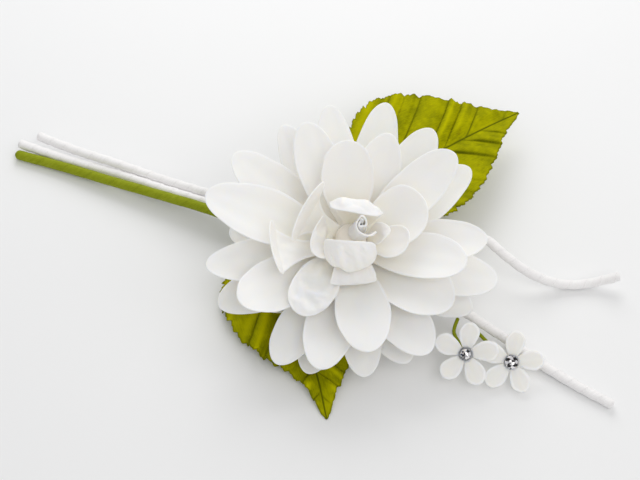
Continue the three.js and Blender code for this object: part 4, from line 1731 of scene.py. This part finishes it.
@dataclass(frozen=True)
class LeafCut:
    """A moulded leaf with a toothed edge along a spine.

    Attributes:
        line: its spine.
        stalk: share of the spine that is bare stalk.
        left: width of its left half.
        right: width of its right half.
        fold: slope of each half up from the spine, in degrees.
        roll: lean of the whole blade, positive with its left side up.
        taper: how hollow its edges run towards the point.
        vein_gap: from one side vein to the next, along the spine.
        pillow: height of the cloth between two veins.
        right_pillow: the same on the right half.
        lowest: the least height of the cloth's middle in the layout.
        widest: where its right half is widest, as a share of the blade.
        left_widest: the same for its left half.
        tooth_gap: from one tooth to the next.
        tooth_depth: of a tooth.
        notch_gap: from one of the small notches to the next.
        notch_depth: of a small notch.
        cloth: thickness of the cloth.
        cut_round: how far its cut edge stands out.
        side_vein: half the width of a side vein.
        mid_vein: half the width of the middle vein at the stalk.
        mid_vein_loss: how much narrower that is at the point.
        even_span: steps along it over which its smooth edge is averaged.
    """

    line: Line
    stalk: float
    left: float
    right: float
    fold: float
    roll: float
    taper: float
    vein_gap: float = 9.6
    pillow: float = 1.7
    right_pillow: float = 0.7
    lowest: float = 0.3
    widest: float = 0.4
    left_widest: float = 0.4
    tooth_gap: float = 2.9
    tooth_depth: float = 0.9
    notch_gap: float = 1.3
    notch_depth: float = 0.35
    cloth: float = 0.38
    cut_round: float = 0.08
    side_vein: float = 0.3
    mid_vein: float = 0.62
    mid_vein_loss: float = 0.38
    even_span: int = 13

    def outline(self, t: np.ndarray, length: float, side: int) -> np.ndarray:
        """The reach of one half along the spine, with its teeth.

        Args:
            t: shares of the spine.
            length: the spine's whole length.
            side: 1 for the left half, -1 for the right half.

        Returns:
            The reach at each share.
        """
        on_blade = np.clip((t - self.stalk) / (1 - self.stalk), 0, 1)
        full, widest = (self.left, self.left_widest) if side > 0 else (self.right, self.widest)
        swelling = np.sin(np.pi / 2 * np.clip(on_blade / widest, 0, 1)) ** 0.8
        closing = np.cos(np.pi / 2 * np.clip((on_blade - widest) / (1 - widest), 0, 1)) ** self.taper
        smooth = (0.05 + 0.95 * swelling * closing) * (1 - 0.75 * smooth_step(t, 0.97, 1.0))
        run = t * length + 0.35 * full * smooth
        tooth = 1 - fraction(run / self.tooth_gap + 0.3 * side)
        notch = 1 - fraction(run / self.notch_gap + 0.17 * side)
        depth = (self.tooth_depth + 0.25 * np.sin(run * 0.9 + side)) * tooth + self.notch_depth * notch
        return full * smooth - depth * smooth_step(full * smooth, 1.5, 6.0)

    def sheet(self, rows: int, half_columns: int) -> Sheet:
        """The leaf's sheet.

        Args:
            rows: steps along it.
            half_columns: steps across each half.

        Returns:
            The sheet in the layout.
        """
        t = np.linspace(0, 1, rows + 1)
        spine, along, length = self.line.even(rows + 1)
        aside = unit(np.stack([-along[:, 1], along[:, 0], np.zeros(rows + 1)], axis=-1))
        share = np.linspace(-1, 1, 2 * half_columns + 1)
        side = np.where(share < 0, -1, 1)
        out = np.abs(share)[None, :]
        edge = {s: self.outline(t, length, s) for s in (1, -1)}
        plain = {s: smoothed(reach, self.even_span) for s, reach in edge.items()}
        full, even = (np.where(side > 0, of[1][:, None], of[-1][:, None]) for of in (edge, plain))
        reach = out * (even + (full - even) * out**5)
        slope = np.radians(self.fold + self.roll * side)[None, :]
        run = (t * length)[:, None]
        lift, vein, ridge = self._relief(t, run, side, out, reach)
        points = spine[:, None, :] + aside[:, None, :] * (side * reach * np.cos(slope))[..., None]
        points[..., 2] = np.maximum(points[..., 2] + reach * np.sin(slope) + lift, self.lowest)
        from_rim = np.minimum(even * (1 - out), ((1 - t) * length)[:, None])
        rim = np.exp(-((from_rim / 0.5) ** 2))
        # The blade's third part is where the painted highlight falls on the standing folds.
        blade = np.stack([np.broadcast_to(run, rim.shape), side * reach, ridge], axis=-1)
        half = np.full(rim.shape, self.cloth / 2)
        return Sheet(points, half, self.cut_round, {"vein": vein, "rim": rim}, {"blade": blade}, 3)

    def _relief(
        self, t: np.ndarray, run: np.ndarray, side: np.ndarray, out: np.ndarray, reach: np.ndarray
    ) -> tuple[np.ndarray, np.ndarray, np.ndarray]:
        """What the hot mould pressed into the blade.

        Args:
            t: shares of the spine.
            run: lengths along the spine, as a column.
            side: 1 on the left half and -1 on the right half, for each column.
            out: share of the way from the spine to the edge, as a row.
            reach: the way from the spine.

        Returns:
            The lift in millimetres, how far each point lies in a dark vein and in the painted shade beside a
            fold, and how far in the painted highlight on a standing fold.
        """
        back = run - reach * np.where(side > 0, 1.5 - 0.12 * out, 1.3 - 0.15 * out)
        phase = back / self.vein_gap + np.where(side > 0, 0.15, 0.6)
        phase = phase + 0.24 * np.sin(2.1 * phase + 1.0 + 1.4 * side)
        fold = fraction(phase)
        slack = 0.5 + 0.5 * np.sin(4.7 * np.floor(phase) + 2.0 * side)
        blade_end = 1 - smooth_step(t, 0.9, 1.0)
        on_blade = (smooth_step(t, self.stalk * 0.7, self.stalk + 0.06) * blade_end)[:, None]
        nearest = (0.5 - np.abs(fold - 0.5)) * self.vein_gap * 0.6
        # Dark pressed veins, from dye and painted shade in the grooves.
        side_vein = np.exp(-((nearest / self.side_vein) ** 2)) * on_blade * smooth_step(reach, 0.0, 0.8)
        mid_vein = np.exp(-((reach / (self.mid_vein - self.mid_vein_loss * t[:, None])) ** 2))
        # Painted shade on the steep side of each fold.
        painted_fold_shade = np.exp(-fold / 0.17) * (0.3 + 0.45 * slack) * on_blade * smooth_step(reach, 0.5, 3.0)
        vein = np.clip(side_vein * (0.75 - 0.5 * out) + mid_vein + painted_fold_shade * (1 - 0.35 * out), 0, 1)
        pillow = np.where(side > 0, self.pillow, self.right_pillow)
        # Painted highlight on the lit side of the folds that stand up.
        ridge = np.exp(-(((fold - 0.36) / 0.12) ** 2)) + 0.6 * np.exp(-(((fold - 0.8) / 0.08) ** 2))
        ridge = ridge * on_blade * smooth_step(reach, 1.0, 4.0) * slack * pillow / self.pillow
        cushion = np.sin(np.pi * fold**0.5) ** 0.8 * (0.6 + 0.6 * slack)
        cushion = cushion * smooth_step(reach, 0.3, 3.5) * (1 - 0.25 * out**4)
        crease = 0.06 * np.sin(FULL_TURN * phase * 3 + 4 * out) * smooth_step(out, 0.15, 0.7)
        crease = crease + 0.14 * np.sin(FULL_TURN * phase * 2 + 1) * out**3
        buckle = np.exp(-(((fold - 0.62 + 0.1 * out) / 0.07) ** 2)) * smooth_step(out, 0.35, 0.9) * slack
        return pillow * on_blade * (cushion + crease - 0.4 * buckle), vein, ridge


@dataclass
class Leaves:
    """The two leaves that stick out from under the peony."""

    layout: Layout
    rows: int = 230
    half_columns: int = 48

    def cuts(self) -> dict[str, LeafCut]:
        """The two leaves' shapes.

        Returns:
            Each leaf's shape, by its CAD node.
        """
        back = [(-10.2, 12.2, 8.6), (-4.7, 17, 8.2), (3.7, 23.1, 8.4), (12, 28, 9.6), (27, 37.2, 11.6)]
        back += [(40, 45.6, 11.4), (51.1, 53.3, 9.5)]
        front = [(-23.4, 12.4, 3.7), (-23.2, 8.5, 2.6), (-22.3, 2, 2), (-18.2, -12, 1.7), (-10, -30, 1.2)]
        front += [(-6.6, -45.5, 0.3)]
        return {
            "leaf_back": LeafCut(
                Line(tuple(back)), stalk=0.16, left=25.5, right=20.4, fold=3, roll=2, taper=1.5
            ),
            "leaf_front": LeafCut(
                Line(tuple(front)),
                stalk=0.03,
                left=21,
                right=17.1,
                fold=1,
                roll=0,
                taper=1.5,
                right_pillow=2.4,
                widest=0.3,
            ),
        }

    def build(self) -> None:
        """Makes both leaves."""
        for node, cut in self.cuts().items():
            made = self.layout.mesh(f"satin_{node}", *cut.sheet(self.rows, self.half_columns).shell())
            self.layout.settle(made, LEAF, node)


class LobeTree(PieceTree):
    """Repeats a lobe round a small blossom's middle."""

    NAME = "lobe_ring"
    CARRIED = "Lobe"
    MADE = "Blossom"
    INPUTS = {
        "Lobes": 5,
        "Seed": 0,
        "Unevenness": 0.05,
        "Hub Radius": 2.1,
        "Hub Height": 0.42,
    }
    TIP_OVER = 1.2
    SHRINK = 0.5

    def grown(self, wiring: Wiring, given: Mapping[str, Flow]) -> Flow:
        """The ring of lobes, each a little off its place and size, and the hub in its middle.

        Args:
            wiring: makes the nodes.
            given: the tree's inputs, by name.

        Returns:
            The lobes and the hub.
        """
        points = wiring.node("GeometryNodePoints", None, {"Count": given["Lobes"]})
        index = wiring.node("GeometryNodeInputIndex")
        turn = index * FULL_TURN / given["Lobes"]
        chance = {"Min_001": -1.0, "Max_001": 1.0, "ID": index, "Seed": given["Seed"]}
        drawn = wiring.node("FunctionNodeRandomValue", {"data_type": "FLOAT"}, chance, "Value_001")
        skew = drawn * given["Unevenness"]
        chance["Seed"] = given["Seed"] + 1
        growth = wiring.node("FunctionNodeRandomValue", {"data_type": "FLOAT"}, chance, "Value_001")
        sockets = {"X": skew * self.TIP_OVER, "Z": turn + skew}
        angles = wiring.node("ShaderNodeCombineXYZ", None, sockets, "Vector")
        size = 1 + (growth - 1) * given["Unevenness"] * self.SHRINK
        scale = wiring.node("ShaderNodeCombineXYZ", None, {"X": size, "Y": size, "Z": 1.0}, "Vector")
        sockets = {"Points": points, "Instance": given["Lobe"], "Rotation": angles, "Scale": scale}
        spread = wiring.node("GeometryNodeInstanceOnPoints", None, sockets)
        ball = wiring.node("GeometryNodeMeshUVSphere", None, {"Segments": 32, "Rings": 14, "Radius": 1.0})
        sockets = {"X": given["Hub Radius"], "Y": given["Hub Radius"], "Z": given["Hub Height"]}
        flat = wiring.node("ShaderNodeCombineXYZ", None, sockets, "Vector")
        hub = wiring.node("GeometryNodeTransform", None, {"Geometry": ball, "Scale": flat})
        joined = self.tree.nodes.new("GeometryNodeJoinGeometry")
        for part in (spread, hub):
            self.tree.links.new(part.socket, joined.inputs[0])
        return Flow(wiring, joined.outputs[0])


@dataclass(frozen=True)
class BlossomSeat:
    """Where one small blossom sits.

    Attributes:
        place: its middle in the layout.
        twig: where its twig runs.
        spin: degrees that its lobes turn about its middle.
        lean: degrees that its right side rises.
        stone: its crystal's radius.
        seed: for its unevenness.
    """

    place: Place
    twig: Line
    spin: float
    lean: float
    stone: float
    seed: int


@dataclass
class Blossoms:
    """The two small foam blossoms with their crystals and twigs.

    A stone ring is its share of the stone's radius, its height over the foot, its count of corners, and the
    turn of its corners as a share of the gap between two.
    """

    layout: Layout
    winding: WindingTree
    reach: float = 9.3
    lobe_width: float = 5.8
    lobe_start: float = 0.8
    lobe_rows: int = 26
    lobe_columns: int = 18
    foam: float = 0.8
    facing: float = 35.0
    twig_diameter: float = 1.1
    stone_rings: tuple[tuple[float, float, int, float], ...] = (
        (0.94, 0.0, 16, 0.0),
        (1.0, 0.35, 16, 0.0),
        (0.78, 0.72, 8, 0.5),
        (0.46, 1.04, 8, 0.0),
    )
    stone_height: float = 1.13

    def seats(self) -> dict[str, BlossomSeat]:
        """The two blossoms' places.

        Returns:
            Where each blossom sits, by its side.
        """
        left = [(31.1, -28.8, 6.3), (31, -27.3, 4.5), (30.4, -24.3, 3.3), (28.7, -19.8, 3.1)]
        left += [(30, -15.4, 3.5)]
        right = [(43.6, -30.2, 4.6), (43.2, -28.9, 3.1), (41.2, -26, 2.2), (37.4, -22.1, 2.4)]
        right += [(34.3, -18.5, 3.1)]
        return {
            "left": BlossomSeat((31.1, -29.4, 7.4), Line(tuple(left)), spin=7, lean=5, stone=1.4, seed=3),
            "right": BlossomSeat((43.6, -30.7, 5.3), Line(tuple(right)), spin=7, lean=3, stone=1.8, seed=8),
        }

    def standing(self, seat: BlossomSeat) -> list[Matrix]:
        """How a blossom stands in the layout.

        Args:
            seat: where it sits.

        Returns:
            The steps from its own frame to the layout.
        """
        return [
            Matrix.Translation(seat.place),
            Matrix.Rotation(math.radians(self.facing), 4, "X"),
            Matrix.Rotation(math.radians(-seat.lean), 4, "Y"),
            Matrix.Rotation(math.radians(seat.spin), 4, "Z"),
        ]

    def build(self) -> None:
        """Makes both blossoms."""
        lobes = LobeTree()
        strip = {
            "Diameter": self.twig_diameter - 0.08,
            "Strip Pitch": 3.2,
            "Lap Height": 0.05,
            "Crease Depth": 0.03,
            "End Round": 0.3,
            "Step": 0.25,
            "Sides": 18,
        }
        for side, seat in self.seats().items():
            self.flower(lobes, side, seat)
            self.stone(side, seat)
            name = f"taped_twig_{side}"
            self.winding.wind(self.layout, name, f"blossom_twig_{side}", seat.twig, STEM_TAPE, strip)

    def flower(self, lobes: LobeTree, side: str, seat: BlossomSeat) -> None:
        """Makes the foam of one blossom.

        Args:
            lobes: the tree that repeats its lobe.
            side: the blossom's side.
            seat: where it sits.
        """
        cut = PetalCut(
            turn=0,
            level=-FIRST_LEVEL / LEVEL_STEP,
            length=self.reach - self.lobe_start,
            width=self.lobe_width,
            rise=0,
            curl=14,
            cup=0.06,
            foot=0.22,
            belly=0.66,
            start=self.lobe_start,
            thickness=self.foam - 0.06,
            flute=0.04,
            wave=0.08,
        )
        points, faces, numbers, places = cut.sheet(self.lobe_rows, self.lobe_columns, seat.seed).shell()
        # The lobes start farther up the ramp of painted warm shade, so they take less of it.
        numbers["along"] = 0.45 + 0.5 * numbers["along"]
        lobe = self.layout.mesh(f"lobe_{side}", points, faces, numbers, places)
        lobe.data.transform(self.layout.matrix().inverted())
        placed = self.layout.matrix(*self.standing(seat))
        made = lobes.piece(lobe, f"foam_blossom_{side}", {"Seed": seat.seed}, BLOSSOM_FOAM, placed)
        self.layout.settle(made, BLOSSOM_FOAM, f"blossom_{side}")

    def stone(self, side: str, seat: BlossomSeat) -> None:
        """Makes one flat-backed crystal: a table, two rows of facets, a girdle and a flat foot.

        Args:
            side: the blossom's side.
            seat: where the blossom sits.
        """
        foot = self.foam / 2 + GLUE_GAP
        circles = []
        rings = []
        peak = 0
        for share, height, count, offset in self.stone_rings:
            angle = (np.arange(count) + offset) * FULL_TURN / count
            reach = seat.stone * share
            level = np.full(count, foot + height)
            circles.append(np.stack([reach * np.cos(angle), reach * np.sin(angle), level], axis=-1))
            rings.append(range(peak, peak + count))
            peak += count
        points = np.concatenate([*circles, [[0.0, 0.0, foot + self.stone_height]]])
        base, girdle, crown, table = rings
        faces = [tuple(reversed(base)), *band(base, girdle)]
        for k in range(len(table)):
            following = (k + 1) % len(table)
            faces.append((peak, table[k], table[following]))
            faces.append((table[k], crown[k], table[following]))
            faces.append((table[k], crown[k - 1], girdle[2 * k], crown[k]))
            faces.append((crown[k], girdle[2 * k], girdle[2 * k + 1]))
            faces.append((crown[k], girdle[2 * k + 1], girdle[2 * following]))
        steps = self.standing(seat)
        made = self.layout.mesh(f"cut_crystal_{side}", points, faces, steps=steps, smooth=False)
        chance = random.Random(seat.seed)
        # Each facet draws at random which painted reflection it shows.
        painted_reflection = made.data.attributes.new("facet", "FLOAT", "FACE")
        painted_reflection.data.foreach_set("value", [chance.random() for _ in faces])
        self.layout.settle(made, CRYSTAL, f"crystal_{side}")


def aim(made: bpy.types.Object, place: Vector, target: Vector) -> None:
    """Puts a lamp or the camera in its place and turns it to its target.

    Args:
        made: the lamp or the camera.
        place: where it goes, in metres.
        target: what it faces, in metres.
    """
    made.location = place
    made.rotation_mode = "QUATERNION"
    made.rotation_quaternion = (target - place).to_track_quat("-Z", "Y")


@dataclass(frozen=True)
class Lamp:
    """A square soft light that faces the spray.

    Attributes:
        name: its name.
        place: where it hangs, in metres.
        size: of its side, in metres.
        power: in watts.
        colour: of its light.
    """

    name: str
    place: Place
    size: float
    power: float
    colour: Colour

    def hang(self) -> None:
        """Makes the light."""
        data = bpy.data.lights.new(self.name, "AREA")
        data.shape = "SQUARE"
        data.size = self.size
        data.energy = self.power
        data.color = self.colour
        made = put(self.name, data)
        made.visible_camera = False
        aim(made, Vector(self.place), Vector())


LAMPS = (
    Lamp("back", (0.0, 0.36, 0.30), 0.32, 0.92, (1.0, 0.995, 0.985)),
    Lamp("right", (0.60, -0.10, 0.55), 0.60, 0.6, (1.0, 0.98, 0.955)),
    Lamp("top", (0.22, -0.42, 0.72), 0.60, 1.5, (1.0, 0.97, 0.93)),
)


@dataclass
class Studio:
    """The pale table, the soft light and the camera."""

    layout: Layout
    eye: Place = (-8.4, -253.06, 380.71)
    target: Place = (-8.4, 3.9, 13.73)
    lens: float = 90.0
    sensor: float = 36.0
    table_half: float = 4.0
    nearest: float = 0.01
    farthest: float = 30.0
    room_colour: Colour = (0.985, 0.99, 1.0)
    room_strength: float = 0.57

    def build(self) -> None:
        """Makes the table, the lights and the camera."""
        self.table()
        self.lights()
        self.camera()

    def table(self) -> None:
        """The flat table top."""
        half = self.table_half
        corners = [(-half, -half, 0), (half, -half, 0), (half, half, 0), (-half, half, 0)]
        mesh = bpy.data.meshes.new("table_top")
        mesh.from_pydata(corners, [], [(0, 1, 2, 3)])
        mesh.materials.append(TABLE.material())
        put("table_top", mesh)

    def lights(self) -> None:
        """A pale even room, and three soft lamps: behind the spray, to its right, and in front over it."""
        world = bpy.data.worlds.new("room")
        world.use_nodes = True
        background = world.node_tree.nodes["Background"]
        background.inputs["Color"].default_value = (*self.room_colour, 1.0)
        background.inputs["Strength"].default_value = self.room_strength
        scene = bpy.context.scene
        scene.world = world
        scene.view_settings.view_transform = "Standard"
        for lamp in LAMPS:
            lamp.hang()

    def camera(self) -> None:
        """The camera, at the photograph's angle."""
        data = bpy.data.cameras.new("camera")
        data.lens = self.lens
        data.sensor_width = self.sensor
        data.clip_start = self.nearest
        data.clip_end = self.farthest
        camera = put("camera", data)
        eye, target = ((Vector(place) + self.layout.shift) * MM for place in (self.eye, self.target))
        aim(camera, eye, target)
        bpy.context.scene.camera = camera


def main() -> None:
    """Builds the spray and its studio."""
    logging.basicConfig(level=logging.INFO, format="%(message)s")
    layout = Layout()
    winding = WindingTree()
    studio = Studio(layout)
    studio.build()
    head = PeonyHead(layout)
    head.build()
    Backing(layout, head).build()
    Bundle(layout, winding).build()
    Leaves(layout).build()
    Blossoms(layout, winding).build()
    log.info("%d pieces", layout.pieces)


if __name__ == "__main__":
    main()
